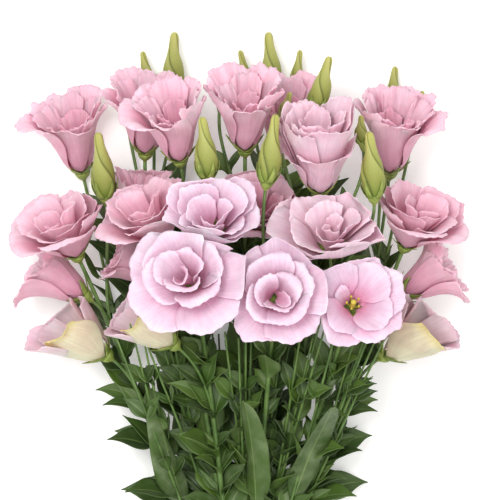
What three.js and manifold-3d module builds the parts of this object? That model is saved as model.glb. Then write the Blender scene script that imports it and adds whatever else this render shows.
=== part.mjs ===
// A bouquet of ten cut lisianthus stems, lying on its back, tied with one rubber band.
// Millimetres. +Z is up from the surface it lies on, and +Y runs from the cut ends to the flowers.
// The origin is where the flat underside of the band rests on the surface.

import * as THREE from "three";
import { mergeVertices } from "three/addons/utils/BufferGeometryUtils.js";
import Module from "manifold-3d";

const wasm = await Module();
wasm.setup();

// Driving sizes
const GAP = 0.3; // between pieces that touch
const STEM_RADIUS = 2.5; // at the band
const STEM_TIP_RADIUS = 1.6;
const STEM_PITCH = 5.3; // between stem centres in the band
const STEM_FAN = 7; // how far past the band's middle the stems begin to fan out
const STALK_RADIUS = 1.35; // of a flower's own stalk
const TAIL = 110; // from the band to the cut ends
const TAIL_SPREAD = 9; // how unevenly the ends are cut
const BAND_WALL = 1.6;
const BAND_WIDTH = 8;
const PETAL_THICK = 0.8;
const LEAF_THICK = 0.8;
const CUP_LENGTH = 7; // of the green cup under a flower
const CUP_WALL = 0.9;
const CUP_SEAT = 0.7; // of the cup's length, from its rim down to where its stalk ends
const SEPAL_SHARE = 0.2; // of an outer petal's length, covered by the cup's pointed sepals
const SEAT_RADIUS = 5.4; // of the solid foot that joins the petals
const SEAT_HEIGHT = 2.2;
const NECK_RADIUS = 0.9; // of a flower's core, where it stands on the foot
const LEAF_ROOT = 0.8; // how far off a stem's middle a leaf starts

// How petals and leaves bend clear of what lies round them
const REACH_SHARE = 0.62; // of a flower's width: what lies further from its middle never touches it
const SOFTNESS = 4; // how far before a neighbour's wall the bend begins
const GREEN_SOFTNESS = 3; // the same before a stem, cup or bud

// What each curve or ring costs in faces
const STEM_SIDES = 5;
const STALK_SIDES = 3;
const STEM_STEPS = 6;
const STALK_STEPS = 4;
const PETAL_ROWS = [0, 0.55, 1];
const BIG_LEAF_ROWS = [0, 0.25, 0.65, 1];
const SMALL_LEAF_ROWS = [0, 0.45, 1];
const PROFILE_STEPS = 12; // for adding up a petal's curve

const ROW_HEIGHT = STEM_PITCH * Math.sin(Math.PI / 3);
const BUNDLE_Z = BAND_WALL + GAP + STEM_RADIUS + ROW_HEIGHT;
const UP = new THREE.Vector3(0, 0, 1);
const ALONG = new THREE.Vector3(0, 1, 0);
const RIGHT = new THREE.Vector3(1, 0, 0);
const rad = THREE.MathUtils.degToRad;
const lerp = THREE.MathUtils.lerp;
const smooth = THREE.MathUtils.smoothstep;

// The ten stems. across, row: the place in the band, in pitches. tip: the flower at the end.
// sides: where there is room for its leaves, in degrees from +X to +Z.
// levels: which of LEAF_LEVELS it bears. strap: where its one long leaf grows, if it has one.
const STEMS = {
  a: { across: -1.5, row: 0, tip: "middle_1", sides: [150, 205], levels: [1, 2, 3, 4], strap: 76 },
  b: { across: -0.5, row: 0, tip: "middle_2", sides: [165], levels: [2, 3] },
  c: { across: 1.5, row: 0, tip: "middle_5", sides: [30, -25], levels: [1, 2, 3, 4] },
  d: { across: -1, row: -1, tip: "top_2", sides: [212, 285], levels: [1, 2] },
  e: { across: 0, row: -1, tip: "top_4", sides: [270], levels: [2] },
  f: { across: 1, row: -1, tip: "top_5", sides: [-55, -105], levels: [1, 2] },
  g: { across: -1, row: 1, tip: "front_1", sides: [135, 185], levels: [2, 3, 4] },
  h: { across: 0, row: 1, tip: "front_2", sides: [95], levels: [4], strap: 119 },
  i: { across: 1, row: 1, tip: "front_3", sides: [45, -15], levels: [2, 3, 4], strap: 80 },
  j: { across: 0.5, row: 0, tip: "top_6", sides: [70], levels: [2, 3] },
};

// The leaves at each level of a stem, the first being the long straps.
// height: above the band. tip: how broad the end is.
// arch: degrees from the stem at a leaf's two ends.
const LEAF_LEVELS = [
  { height: 124, long: 120, broad: 32, tip: 0.66, arch: [12, 32] },
  { height: 126, long: 62, broad: 26, tip: 0.08, arch: [35, 80] },
  { height: 166, long: 50, broad: 22, tip: 0.08, arch: [30, 75] },
  { height: 203, long: 42, broad: 13, tip: 0.1, arch: [25, 85] },
  { height: 240, long: 40, broad: 22, tip: 0.15, arch: [20, 50] },
];

// The flowers. at: where the foot sits. lean: degrees from +Y towards +X.
// face: degrees up from the surface. wide: across the open petals.
// from: how far up its stem the stalk leaves, where it isn't the stem's own tip.
const FLOWERS = {
  top_1: { form: "trumpet", stem: "a", at: [-141, 414, 10], lean: -13, face: 22, wide: 84, from: 0.52 },
  top_2: { form: "trumpet", stem: "d", at: [-86, 430, 42], lean: 2, face: 25, wide: 84 },
  top_3: { form: "trumpet", stem: "b", at: [-55, 423, 92], lean: -10, face: 30, wide: 82, from: 0.6 },
  top_4: { form: "trumpet", stem: "e", at: [0, 432, 84], lean: 0, face: 28, wide: 82 },
  top_5: { form: "trumpet", stem: "f", at: [34, 425, 38], lean: 3, face: 25, wide: 86 },
  top_6: { form: "tall_rose", stem: "j", at: [64, 396, 96], lean: -3, face: 28, wide: 100 },
  top_7: { form: "trumpet", stem: "c", at: [124, 413, 48], lean: 6, face: 24, wide: 88, from: 0.52 },
  back_1: { form: "trumpet", stem: "d", at: [-90, 368, 40], lean: 2, face: 25, wide: 84, from: 0.62 },
  back_2: { form: "rose", stem: "e", at: [10, 366, 70], lean: 2, face: 48, wide: 92, from: 0.66 },
  middle_1: { form: "rose", stem: "a", at: [-143, 342, 72], lean: -25, face: 26, wide: 92 },
  middle_2: { form: "rose", stem: "b", at: [-70, 353, 96], lean: -25, face: 26, wide: 92 },
  middle_3: { form: "rose", stem: "h", at: [-26, 359, 130], lean: -5, face: 55, wide: 86, from: 0.7 },
  middle_4: { form: "bowl", stem: "i", at: [72, 345, 108], lean: -3, face: 44, wide: 114, from: 0.62 },
  middle_5: { form: "rose", stem: "c", at: [136, 350, 72], lean: 22, face: 26, wide: 92 },
  side_1: { form: "trumpet", stem: "a", at: [-136, 307, 58], lean: -58, face: -5, wide: 70, from: 0.66 },
  side_2: { form: "trumpet", stem: "b", at: [-71, 322, 66], lean: -58, face: 5, wide: 72, from: 0.66 },
  side_3: { form: "trumpet", stem: "c", at: [133, 309, 58], lean: 58, face: -5, wide: 70, from: 0.66 },
  half_open_1: { form: "goblet", stem: "a", at: [-118, 257, 62], lean: -54, face: 15, wide: 82, from: 0.42 },
  half_open_2: { form: "goblet", stem: "g", at: [-60, 267, 92], lean: -51, face: 15, wide: 74, from: 0.52 },
  half_open_3: { form: "goblet", stem: "c", at: [118, 257, 62], lean: 53, face: 15, wide: 82, from: 0.42 },
  front_1: { form: "flat_rose", stem: "g", at: [-44, 317, 134], lean: -20, face: 70, wide: 106 },
  front_2: { form: "flat_rose", stem: "h", at: [25, 305, 134], lean: 0, face: 75, wide: 92 },
  front_3: { form: "open", stem: "i", at: [90, 299, 122], lean: 15, face: 72, wide: 90 },
};

// The closed buds, placed as the flowers are. long and wide: the bud's own length and thickness.
const BUDS = {
  bud_01: { stem: "a", at: [-119, 392, 66], lean: -6, face: 10, long: 57, wide: 21, from: 0.72 },
  bud_02: { stem: "b", at: [-32, 408, 126], lean: -2, face: 8, long: 52, wide: 20, from: 0.72 },
  bud_03: { stem: "h", at: [18, 404, 132], lean: 8, face: 8, long: 58, wide: 20, from: 0.66 },
  bud_04: { stem: "j", at: [109, 392, 116], lean: -3, face: 8, long: 56, wide: 21, from: 0.66 },
  bud_05: { stem: "d", at: [-62, 478, 14], lean: -1, face: 2, long: 58, wide: 20, from: 0.75 },
  bud_06: { stem: "d", at: [-82, 480, 14], lean: -8, face: 3, long: 40, wide: 14, from: 0.7 },
  bud_07: { stem: "d", at: [-104, 468, 14], lean: -10, face: 4, long: 34, wide: 13, from: 0.66 },
  bud_08: { stem: "e", at: [-21, 472, 72], lean: 8, face: 5, long: 34, wide: 13, from: 0.78 },
  bud_09: { stem: "f", at: [3, 480, 14], lean: -8, face: 3, long: 41, wide: 13, from: 0.66 },
  bud_10: { stem: "f", at: [22, 478, 14], lean: 1, face: 2, long: 58, wide: 20, from: 0.75 },
  bud_11: { stem: "f", at: [42, 480, 14], lean: 9, face: 3, long: 41, wide: 13, from: 0.7 },
  bud_12: { stem: "j", at: [60, 466, 80], lean: 14, face: 5, long: 48, wide: 18, from: 0.78 },
  bud_13: { stem: "c", at: [125, 465, 7], lean: 10, face: 1, long: 42, wide: 15, from: 0.62 },
  bud_14: { stem: "c", at: [148, 456, 8], lean: 14, face: 3, long: 30, wide: 12, from: 0.6 },
  bud_15: { stem: "j", at: [33, 458, 88], lean: 8, face: 5, long: 24, wide: 12, from: 0.72 },
  bud_16: { stem: "j", at: [100, 438, 88], lean: -8, face: 5, long: 24, wide: 12, from: 0.74 },
};
const BUD_SHARES = [0, 0.3, 0.55, 0.8, 1]; // of a bud's length
const BUD_FULLNESS = [0.46, 1, 0.8, 0.45, 0.14]; // of its half width, there
const BUD_TURN = 0.35; // radians its folds turn by at each of those places

// The forms. middle: how far up the axis an open flower's middle is, as a share of its width.
// layers: the petals from the outside in. long: share of the flower's width. start: radius they leave
// the foot on. base and tip: degrees from the flower's axis at a petal's two ends. flare: how late it
// turns outwards. cover: its breadth at the rim, 1 where it just meets its neighbours.
// core: the folded innermost petals, as a lobed cup. high, wide and deep are shares of the width.
const FORMS = {
  trumpet: {
    middle: 0.42,
    layers: [{ petals: 5, long: 0.84, start: 3.6, base: 20, tip: 72, flare: 2.6, cover: 1.2 }],
    core: { high: 0.66, wide: 0.3, deep: 0.2 },
  },
  rose: {
    middle: 0.32,
    layers: [
      { petals: 5, long: 0.62, start: 3.7, base: 30, tip: 86, flare: 1.6, cover: 1.25 },
      { petals: 4, long: 0.56, start: 1.7, base: 19, tip: 56, flare: 1.6, cover: 1.2 },
    ],
    core: { high: 0.46, wide: 0.24, deep: 0.26 },
  },
  flat_rose: {
    middle: 0.24,
    layers: [
      { petals: 5, long: 0.56, start: 3.7, base: 38, tip: 94, flare: 1.3, cover: 1.25 },
      { petals: 4, long: 0.5, start: 1.7, base: 25, tip: 70, flare: 1.4, cover: 1.2 },
    ],
    core: { high: 0.36, wide: 0.24, deep: 0.2 },
  },
  bowl: {
    middle: 0.28,
    layers: [
      { petals: 5, long: 0.56, start: 3.7, base: 36, tip: 82, flare: 1.4, cover: 1.25 },
      { petals: 4, long: 0.5, start: 1.7, base: 25, tip: 58, flare: 1.4, cover: 1.2 },
    ],
  },
  tall_rose: {
    middle: 0.42,
    layers: [
      { petals: 5, long: 0.88, start: 3.7, base: 22, tip: 84, flare: 2.2, cover: 1.25 },
      { petals: 4, long: 0.84, start: 1.7, base: 13, tip: 46, flare: 2, cover: 1.2 },
    ],
    core: { high: 0.7, wide: 0.3, deep: 0.3 },
  },
  open: {
    middle: 0.24,
    layers: [{ petals: 6, long: 0.56, start: 3.6, base: 36, tip: 86, flare: 1.1, cover: 1.3 }],
  },
  goblet: {
    middle: 0.42,
    layers: [{ petals: 4, long: 0.86, start: 3.6, base: 18, tip: 40, flare: 2.4, cover: 1.2 }],
    core: { high: 0.74, wide: 0.26, deep: 0.5 },
  },
};

// A repeatable number from 0 to 1 for each seed.
function chance(seed) {
  const s = Math.sin(seed * 12.9898 + 4.1414) * 43758.5453;
  return s - Math.floor(s);
}

function axisOf({ lean, face }) {
  const level = Math.cos(rad(face));
  return new THREE.Vector3(Math.sin(rad(lean)) * level, Math.cos(rad(lean)) * level, Math.sin(rad(face)));
}

// A right-handed frame at an organ's foot, with its third direction along the organ's axis.
function frameOf(organ) {
  const axis = axisOf(organ);
  const side = new THREE.Vector3().crossVectors(axis, Math.abs(axis.z) < 0.9 ? UP : ALONG).normalize();
  const over = new THREE.Vector3().crossVectors(axis, side);
  return { origin: new THREE.Vector3(...organ.at), axis, side, over };
}

function place({ origin, side, over, axis }, x, y, z) {
  return origin.clone().addScaledVector(side, x).addScaledVector(over, y).addScaledVector(axis, z);
}

function bezier(ends, t) {
  return new THREE.CubicBezierCurve3(...ends).getPoint(t);
}

function pointsOn(curve, steps) {
  return Array.from({ length: steps + 1 }, (_, k) => bezier(curve, k / steps));
}

// A solid from a closed geometry. A ring or an edge that is drawn in to one point loses its flat triangles.
function solidFrom(geometry) {
  for (const name of ["normal", "uv"]) if (geometry.getAttribute(name)) geometry.deleteAttribute(name);
  const merged = mergeVertices(geometry, 1e-4);
  const triangles = [];
  for (let k = 0; k < merged.index.count; k += 3) {
    const corners = [0, 1, 2].map((c) => merged.index.getX(k + c));
    if (new Set(corners).size === 3) triangles.push(...corners);
  }
  return new wasm.Manifold(
    new wasm.Mesh({
      numProp: 3,
      vertProperties: new Float32Array(merged.attributes.position.array),
      triVerts: new Uint32Array(triangles),
    }),
  );
}

// The joined solids as one body. A hollow that they seal is filled, and a loose scrap is dropped.
function joined(solids) {
  const bodies = wasm.Manifold.union(solids).decompose();
  return bodies.reduce((largest, body) => (body.volume() > largest.volume() ? body : largest));
}

// A closed tube of rings. pointAt(row, side, share) places each point; share is 0 at the middle of an end.
function ringed(sides, rows, pointAt) {
  const geometry = new THREE.CylinderGeometry(1, 1, 1, sides, rows - 1);
  const points = geometry.attributes.position;
  for (let k = 0; k < points.count; k++) {
    const row = Math.round((points.getY(k) + 0.5) * (rows - 1));
    const turn = Math.atan2(points.getX(k), points.getZ(k)) / (2 * Math.PI);
    const side = Math.round(turn * sides + sides) % sides;
    const p = pointAt(row, side, Math.round(Math.hypot(points.getX(k), points.getZ(k))));
    points.setXYZ(k, p.x, p.y, p.z);
  }
  return solidFrom(geometry);
}

// A tube through points, with a radius at each.
function loft(points, radii, sides) {
  const last = points.length - 1;
  return ringed(sides, points.length, (row, side, share) => {
    const tangent = points[Math.min(row + 1, last)].clone().sub(points[Math.max(row - 1, 0)]).normalize();
    const across = new THREE.Vector3().crossVectors(tangent, RIGHT).normalize();
    const over = new THREE.Vector3().crossVectors(across, tangent);
    const angle = (side / sides) * 2 * Math.PI;
    return points[row]
      .clone()
      .addScaledVector(across, Math.sin(angle) * radii[row] * share)
      .addScaledVector(over, Math.cos(angle) * radii[row] * share);
  });
}

// A solid of rings round an organ's axis.
// ringAt(row, side, share) gives a point's distance from the axis and its height.
function turned(organ, sides, rows, turn, ringAt) {
  const frame = frameOf(organ);
  return ringed(sides, rows, (row, side, share) => {
    const [radius, height] = ringAt(row, side, share);
    const angle = (side / sides) * 2 * Math.PI + turn * row;
    return place(frame, Math.cos(angle) * radius * share, Math.sin(angle) * radius * share, height);
  });
}

// A closed blade whose middle surface is rows of points, split into triangles alike on both faces.
// The first row may be one point.
function blade(rows, thick) {
  const [nv, nu] = [rows.length, rows[0].length];
  const [front, back] = [[], []];
  for (let v = 0; v < nv; v++)
    for (let u = 0; u < nu; u++) {
      const column = rows[v][0].equals(rows[v][nu - 1]) ? (nu - 1) / 2 : u;
      const row = rows[Math.max(v, 1)];
      const alongU = row[Math.min(column + 1, nu - 1)].clone().sub(row[Math.max(column - 1, 0)]);
      const alongV = rows[Math.min(v + 1, nv - 1)][column].clone().sub(rows[Math.max(v - 1, 0)][column]);
      const half = alongU.cross(alongV).normalize().multiplyScalar(thick / 2);
      front.push(...rows[v][u].clone().add(half).toArray());
      back.push(...rows[v][u].clone().sub(half).toArray());
    }
  const count = nu * nv;
  const at = (u, v) => v * nu + u;
  const index = [];
  for (let v = 0; v < nv - 1; v++)
    for (let u = 0; u < nu - 1; u++) {
      const [a, b, c, d] = [at(u, v), at(u + 1, v), at(u + 1, v + 1), at(u, v + 1)];
      index.push(a, b, c, a, c, d);
      index.push(a + count, c + count, b + count, a + count, d + count, c + count);
    }
  const edge = [];
  for (let u = 0; u < nu - 1; u++) edge.push(at(u, 0));
  for (let v = 0; v < nv - 1; v++) edge.push(at(nu - 1, v));
  for (let u = nu - 1; u > 0; u--) edge.push(at(u, nv - 1));
  for (let v = nv - 1; v > 0; v--) edge.push(at(0, v));
  edge.forEach((a, k) => {
    const b = edge[(k + 1) % edge.length];
    index.push(b, a, a + count, b, a + count, b + count);
  });
  const geometry = new THREE.BufferGeometry();
  geometry.setAttribute("position", new THREE.Float32BufferAttribute([...front, ...back], 3));
  geometry.setIndex(index);
  return solidFrom(geometry);
}

// Stems and stalks: curves from the band to the tips, and from the stems to each flower and bud.

function stemFoot({ across, row }) {
  return new THREE.Vector3(across * STEM_PITCH, STEM_FAN, BUNDLE_Z + row * ROW_HEIGHT);
}

function stalkEnd(organ) {
  return new THREE.Vector3(...organ.at).addScaledVector(axisOf(organ), -(GAP + CUP_LENGTH * CUP_SEAT));
}

function stemCurve(stem) {
  const foot = stemFoot(stem);
  const flower = FLOWERS[stem.tip];
  const end = stalkEnd(flower);
  const reach = end.distanceTo(foot);
  return [
    foot,
    foot.clone().lerp(end, 0.3).addScaledVector(ALONG, reach * 0.02),
    end.clone().addScaledVector(axisOf(flower), -reach * 0.22),
    end,
  ];
}

function stalkCurve(organ) {
  const stem = stemCurve(STEMS[organ.stem]);
  const start = bezier(stem, organ.from);
  const onwards = bezier(stem, organ.from + 0.05).sub(start).normalize();
  const end = stalkEnd(organ);
  const reach = end.distanceTo(start);
  return [
    start,
    start.clone().addScaledVector(onwards, reach * 0.35),
    end.clone().addScaledVector(axisOf(organ), -reach * 0.3),
    end,
  ];
}

// What petals and leaves keep clear of: each straight run of green, cup or bud, as a line with a radius.
const organs = { ...FLOWERS, ...BUDS };
const runs = [];

function addRuns(points, radius, owner, stem) {
  for (let k = 1; k < points.length; k++)
    runs.push({ line: new THREE.Line3(points[k - 1], points[k]), radius, owner, stem });
}

for (const [name, stem] of Object.entries(STEMS))
  addRuns(pointsOn(stemCurve(stem), STEM_STEPS), STEM_RADIUS, stem.tip, name);
for (const [name, organ] of Object.entries(organs)) {
  if (organ.from) addRuns(pointsOn(stalkCurve(organ), STALK_STEPS), STALK_RADIUS, name, organ.stem);
  const frame = frameOf(organ);
  const ends = [place(frame, 0, 0, -CUP_LENGTH), place(frame, 0, 0, organ.long ?? CUP_LENGTH * 1.6)];
  addRuns(ends, organ.long ? organ.wide / 2 + 2 : SEAT_RADIUS + 4, name, organ.stem);
}

function flowerCentre(flower) {
  return place(frameOf(flower), 0, 0, flower.wide * FORMS[flower.form].middle);
}

// The flat walls between a flower and what lies round it. Each has a point and a direction that leads out.
// The floor's wall lets the lowest petals just through, to be cut flat where they rest.
const FLOOR = { point: new THREE.Vector3(0, 0, -0.8), out: UP.clone().negate(), soft: 1.5 };

function wallsOf(name) {
  const flower = FLOWERS[name];
  const centre = flowerCentre(flower);
  const walls = [FLOOR];
  for (const [other, next] of Object.entries(FLOWERS)) {
    if (other === name) continue;
    const away = flowerCentre(next).sub(centre);
    if (away.length() > (flower.wide + next.wide) * REACH_SHARE) continue;
    const share = flower.wide / (flower.wide + next.wide);
    const point = centre.clone().addScaledVector(away, share);
    walls.push({ point, out: away.clone().normalize(), soft: SOFTNESS });
  }
  for (const { line, radius, owner } of runs) {
    if (owner === name) continue;
    const near = line.closestPointToPoint(centre, true, new THREE.Vector3());
    const out = near.clone().sub(centre);
    if (out.length() > flower.wide * REACH_SHARE + radius) continue;
    out.normalize();
    walls.push({ point: near.addScaledVector(out, -radius), out, soft: GREEN_SOFTNESS });
  }
  return walls;
}

// Bends a point back inside the walls, more and more softly towards each wall.
function bentClear(point, walls, share) {
  const p = point.clone();
  const rest = GAP + PETAL_THICK / 2;
  for (let pass = 0; pass < 3; pass++)
    for (const { point: wall, out, soft } of walls) {
      const past = p.clone().sub(wall).dot(out);
      if (past <= -soft) continue;
      const kept = -rest - (soft - rest) * Math.exp(-(past + soft) / (soft - rest));
      p.addScaledVector(out, (kept - past) * share);
    }
  return p;
}

// How far out, how high and how steep a petal's middle line is at a distance along it.
function petalLine({ long, start, base, tip, flare }, reach) {
  const angleAt = (share) => rad(lerp(base, tip, share ** flare));
  let [radius, height] = [start, 1];
  for (let k = 0; k < PROFILE_STEPS; k++) {
    const angle = angleAt(((k + 0.5) / PROFILE_STEPS) * (reach / long));
    radius += (Math.sin(angle) * reach) / PROFILE_STEPS;
    height += (Math.cos(angle) * reach) / PROFILE_STEPS;
  }
  return { radius, height, angle: angleAt(reach / long) };
}

// A point of a petal's middle surface: u from -1 to 1 across, v from 0 to 1 along.
// One long edge lies outside the next petal and the other inside it, so petals of a layer don't cross.
function petalPoint(petal, u, v) {
  const { radius, height, angle } = petalLine(petal, petal.long * v * (1 - 0.14 * u * u * v * v));
  const narrowed = 1 - 0.2 * Math.max(0, (v - 0.7) / 0.3) ** 2;
  const widening = Math.sin(Math.min(v / PETAL_ROWS[1], 1) * (Math.PI / 2));
  const across = (Math.PI / petal.petals) * petal.cover * widening * narrowed * u;
  const ripple = petal.wave * v ** 3 * Math.sin(4 * u + petal.seed * 6.28);
  const lift = (0.11 * radius + 0.6) * u * smooth(v, 0, 0.5);
  const r = radius + (ripple + lift) * Math.cos(angle);
  const theta = petal.around + across;
  return [r * Math.cos(theta), r * Math.sin(theta), height - (ripple + lift) * Math.sin(angle)];
}

function petalsOf(name) {
  const flower = FLOWERS[name];
  const order = Object.keys(FLOWERS).indexOf(name);
  return FORMS[flower.form].layers.flatMap((layer, depth) =>
    Array.from({ length: layer.petals }, (_, k) => {
      const seed = order * 31 + depth * 7 + k;
      const turn = ((k + depth * 0.5) / layer.petals - 0.25) * 2 * Math.PI;
      return {
        ...layer,
        depth,
        seed: chance(seed),
        around: turn + (chance(seed + 0.5) - 0.5) * 0.15,
        long: layer.long * flower.wide * (0.95 + 0.1 * chance(seed + 0.3)),
        tip: layer.tip + (chance(seed + 0.7) - 0.5) * 8,
        wave: depth === 0 ? 2.2 : 1,
      };
    }),
  );
}

// The foot that joins the petals, with the lobed core on it where the form has one.
function coreSolid(flower) {
  const { core } = FORMS[flower.form];
  const foot = [
    [SEAT_RADIUS, 0],
    [SEAT_RADIUS, SEAT_HEIGHT],
  ];
  if (!core) return turned(flower, 6, 2, 0, (row) => foot[row]);
  const [high, wide, deep] = [core.high, core.wide, core.deep].map((share) => share * flower.wide);
  return turned(flower, 6, 5, 0, (row, side, share) => {
    if (row < 2) return foot[row];
    if (row === 2) return [NECK_RADIUS, SEAT_HEIGHT];
    if (share === 0) return [0, high - deep];
    const lobe = side % 2 ? 1 : 0.8;
    const rim = (wide / 2) * lobe;
    return [row === 3 ? rim : rim - 1.2 * PETAL_THICK, high * lerp(0.9, 1, side % 2)];
  });
}

function flowerSolid(name) {
  const flower = FLOWERS[name];
  const frame = frameOf(flower);
  const walls = wallsOf(name);
  const petals = petalsOf(name).map((petal) => {
    const pointAt = (u, v) => place(frame, ...petalPoint(petal, u, v));
    const rows = PETAL_ROWS.map((v) =>
      [-1, 0, 1].map((u) => bentClear(pointAt(u, v), walls, smooth(v, 0.25, 0.5))),
    );
    return blade(rows, PETAL_THICK);
  });
  return restingFlat(joined([coreSolid(flower), ...petals]));
}

// The ovary, style and stigma in the middle of the open flower, with the stamens that stand round them.
function pistilSolid(flower) {
  const column = [
    [1.4, SEAT_HEIGHT + GAP],
    [2.4, 6],
    [1.7, 9],
    [0.8, 13],
    [2.3, 15.5],
    [1, 17.5],
  ];
  const frame = frameOf(flower);
  const stamens = Array.from({ length: 5 }, (_, k) => {
    const angle = (k / 5) * 2 * Math.PI;
    const [x, y] = [Math.cos(angle), Math.sin(angle)];
    const bends = [
      [1, 4],
      [4, 9],
      [5.5, 14],
    ];
    const points = bends.map(([out, up]) => place(frame, out * x, out * y, up));
    return loft(points, [0.5, 0.5, 1], 3);
  });
  return joined([turned(flower, 6, column.length, 0, (row) => column[row]), ...stamens]);
}

// Cuts away what would sink into the surface, so that it rests on a flat spot.
function restingFlat(solid) {
  if (solid.boundingBox().min[2] >= 0) return solid;
  const depth = 20;
  const ground = new THREE.BoxGeometry(1000, 1000, depth).translate(0, 200, -depth / 2);
  return joined([solid.subtract(solidFrom(ground))]);
}

// Green parts

function budRing(bud, row) {
  return [(BUD_FULLNESS[row] * bud.wide) / 2, BUD_SHARES[row] * bud.long];
}

function budSolid(bud) {
  return restingFlat(turned(bud, 6, BUD_SHARES.length, BUD_TURN, (row) => budRing(bud, row)));
}

// The green cup that carries a flower or bud: a cone that starts inside the stalk, with a flat floor in it
// and pointed sepals on its rim.
function cupSolid(organ) {
  const sepals = organ.long ? 3 : 5;
  const seat = organ.long ? budRing(organ, 0)[0] : SEAT_RADIUS;
  const floor = (seat + GAP) / Math.cos(Math.PI / (sepals * 2)) + 0.1;
  const tip = organ.long ? [organ.wide / 2 + 1.6, BUD_SHARES[1] * organ.long] : sepalTip(organ);
  return turned(organ, sepals * 2, 4, 0, (row, side) => {
    if (row === 0) return [0, -GAP - CUP_LENGTH];
    if (row === 3) return [floor, -GAP];
    if (side % 2) return [floor + CUP_WALL, 0.6];
    return row === 1 ? [floor + CUP_WALL, -1] : tip;
  });
}

// The end of a sepal that lies along the outside of an outer petal.
function sepalTip(flower) {
  const layer = FORMS[flower.form].layers[0];
  const petal = { ...layer, long: layer.long * flower.wide };
  const far = petalLine(petal, petal.long * PETAL_ROWS[1]);
  const angle = Math.atan2(far.radius - petal.start, far.height - 1);
  const reach = petal.long * SEPAL_SHARE;
  const clear = 2.6;
  return [
    petal.start + reach * Math.sin(angle) + clear * Math.cos(angle),
    1 + reach * Math.cos(angle) - clear * Math.sin(angle),
  ];
}

// How far along a stem's curve it reaches a height.
function shareAt(curve, height) {
  let [low, high] = [0, 1];
  for (let k = 0; k < 16; k++) {
    const middle = (low + high) / 2;
    if (bezier(curve, middle).y < height) low = middle;
    else high = middle;
  }
  return low;
}

function leavesOf(name) {
  const stem = STEMS[name];
  const curve = stemCurve(stem);
  const order = Object.keys(STEMS).indexOf(name);
  const places = stem.levels.flatMap((level) => stem.sides.map((side, k) => ({ level, side, k })));
  if (stem.strap) places.push({ level: 0, side: stem.strap, k: 0 });
  return places.map(({ level, side, k }) => {
    const seed = order * 17 + level * 3 + k;
    const { height, long, broad, tip, arch } = LEAF_LEVELS[level];
    const share = shareAt(curve, height + 12 * (chance(seed * 1.7) - 0.5) + 5 * k);
    const root = bezier(curve, share);
    const along = bezier(curve, share + 0.02).sub(root).normalize();
    const angle = rad(side + 24 * (chance(seed + 0.6) - 0.5));
    const out = new THREE.Vector3(Math.cos(angle), 0, Math.sin(angle));
    out.addScaledVector(along, -out.dot(along)).normalize();
    const size = 0.9 + 0.2 * chance(seed + 0.2);
    const leaf = { stem: name, root, along, out, long: long * size, broad: broad * size, tip, arch };
    leaf.line = new THREE.Line3(leafPoint(leaf, 0, 0.05), leafPoint(leaf, 0, 0.95));
    return leaf;
  });
}

// A point of a leaf's middle surface: u from -1 to 1 across, v from 0 to 1 along.
// The edges fold up a little.
function leafPoint({ root, along, out, long, broad, tip, arch }, u, v) {
  const [first, last] = arch.map(rad);
  const angle = lerp(first, last, v);
  const ahead = (long * (Math.sin(angle) - Math.sin(first))) / (last - first);
  const away = (long * (Math.cos(first) - Math.cos(angle))) / (last - first);
  const widening = Math.sin(Math.min(v / 0.4, 1) * (Math.PI / 2));
  const half = (broad / 2) * lerp(1, tip, smooth(v, 0.5, 1)) * widening;
  const fold = 0.3 * half * u * u;
  return root
    .clone()
    .addScaledVector(along, ahead + fold * Math.sin(angle))
    .addScaledVector(out, LEAF_ROOT + away - fold * Math.cos(angle))
    .addScaledVector(new THREE.Vector3().crossVectors(along, out), half * u);
}

const leaves = Object.keys(STEMS).flatMap(leavesOf);

function leafWalls(leaf) {
  const walls = [FLOOR];
  const [mine, theirs] = [new THREE.Vector3(), new THREE.Vector3()];
  for (const { line, radius, stem } of runs) {
    if (stem === leaf.stem) continue;
    const gap = Math.sqrt(leaf.line.distanceSqToLine3(line, mine, theirs));
    if (gap > leaf.broad + radius) continue;
    const out = theirs.clone().sub(mine).normalize();
    walls.push({ point: theirs.clone().addScaledVector(out, -radius), out, soft: SOFTNESS });
  }
  for (const other of leaves) {
    if (other.stem === leaf.stem) continue;
    const [middle, next] = [leaf, other].map(({ line }) => line.getCenter(new THREE.Vector3()));
    const run = leaf.line.delta(new THREE.Vector3()).add(other.line.delta(new THREE.Vector3())).normalize();
    const away = next.clone().sub(middle);
    if (Math.abs(away.dot(run)) > (leaf.long + other.long) * 0.5) continue;
    away.addScaledVector(run, -away.dot(run));
    if (away.length() > leaf.broad + other.broad) continue;
    walls.push({ point: middle.addScaledVector(away, 0.5), out: away.clone().normalize(), soft: SOFTNESS });
  }
  for (const flower of Object.values(FLOWERS)) {
    const frame = frameOf(flower);
    const centre = flowerCentre(flower);
    const near = leaf.line.closestPointToPoint(centre, true, new THREE.Vector3());
    if (near.distanceTo(centre) > flower.wide * 0.6 + leaf.broad) continue;
    if (leaf.root.clone().sub(frame.origin).dot(frame.axis) < 0)
      walls.push({ point: place(frame, 0, 0, -1), out: frame.axis, soft: SOFTNESS });
    else {
      const out = centre.clone().sub(near).normalize();
      walls.push({ point: centre.clone().addScaledVector(out, -flower.wide * 0.5), out, soft: SOFTNESS });
    }
  }
  return walls;
}

function leafSolid(leaf) {
  const walls = leafWalls(leaf);
  const rows = (leaf.long > 80 ? BIG_LEAF_ROWS : SMALL_LEAF_ROWS).map((v) =>
    [-1, 0, 1].map((u) => bentClear(leafPoint(leaf, u, v), walls, smooth(v, 0.02, 0.25))),
  );
  return blade(rows, LEAF_THICK);
}

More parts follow.
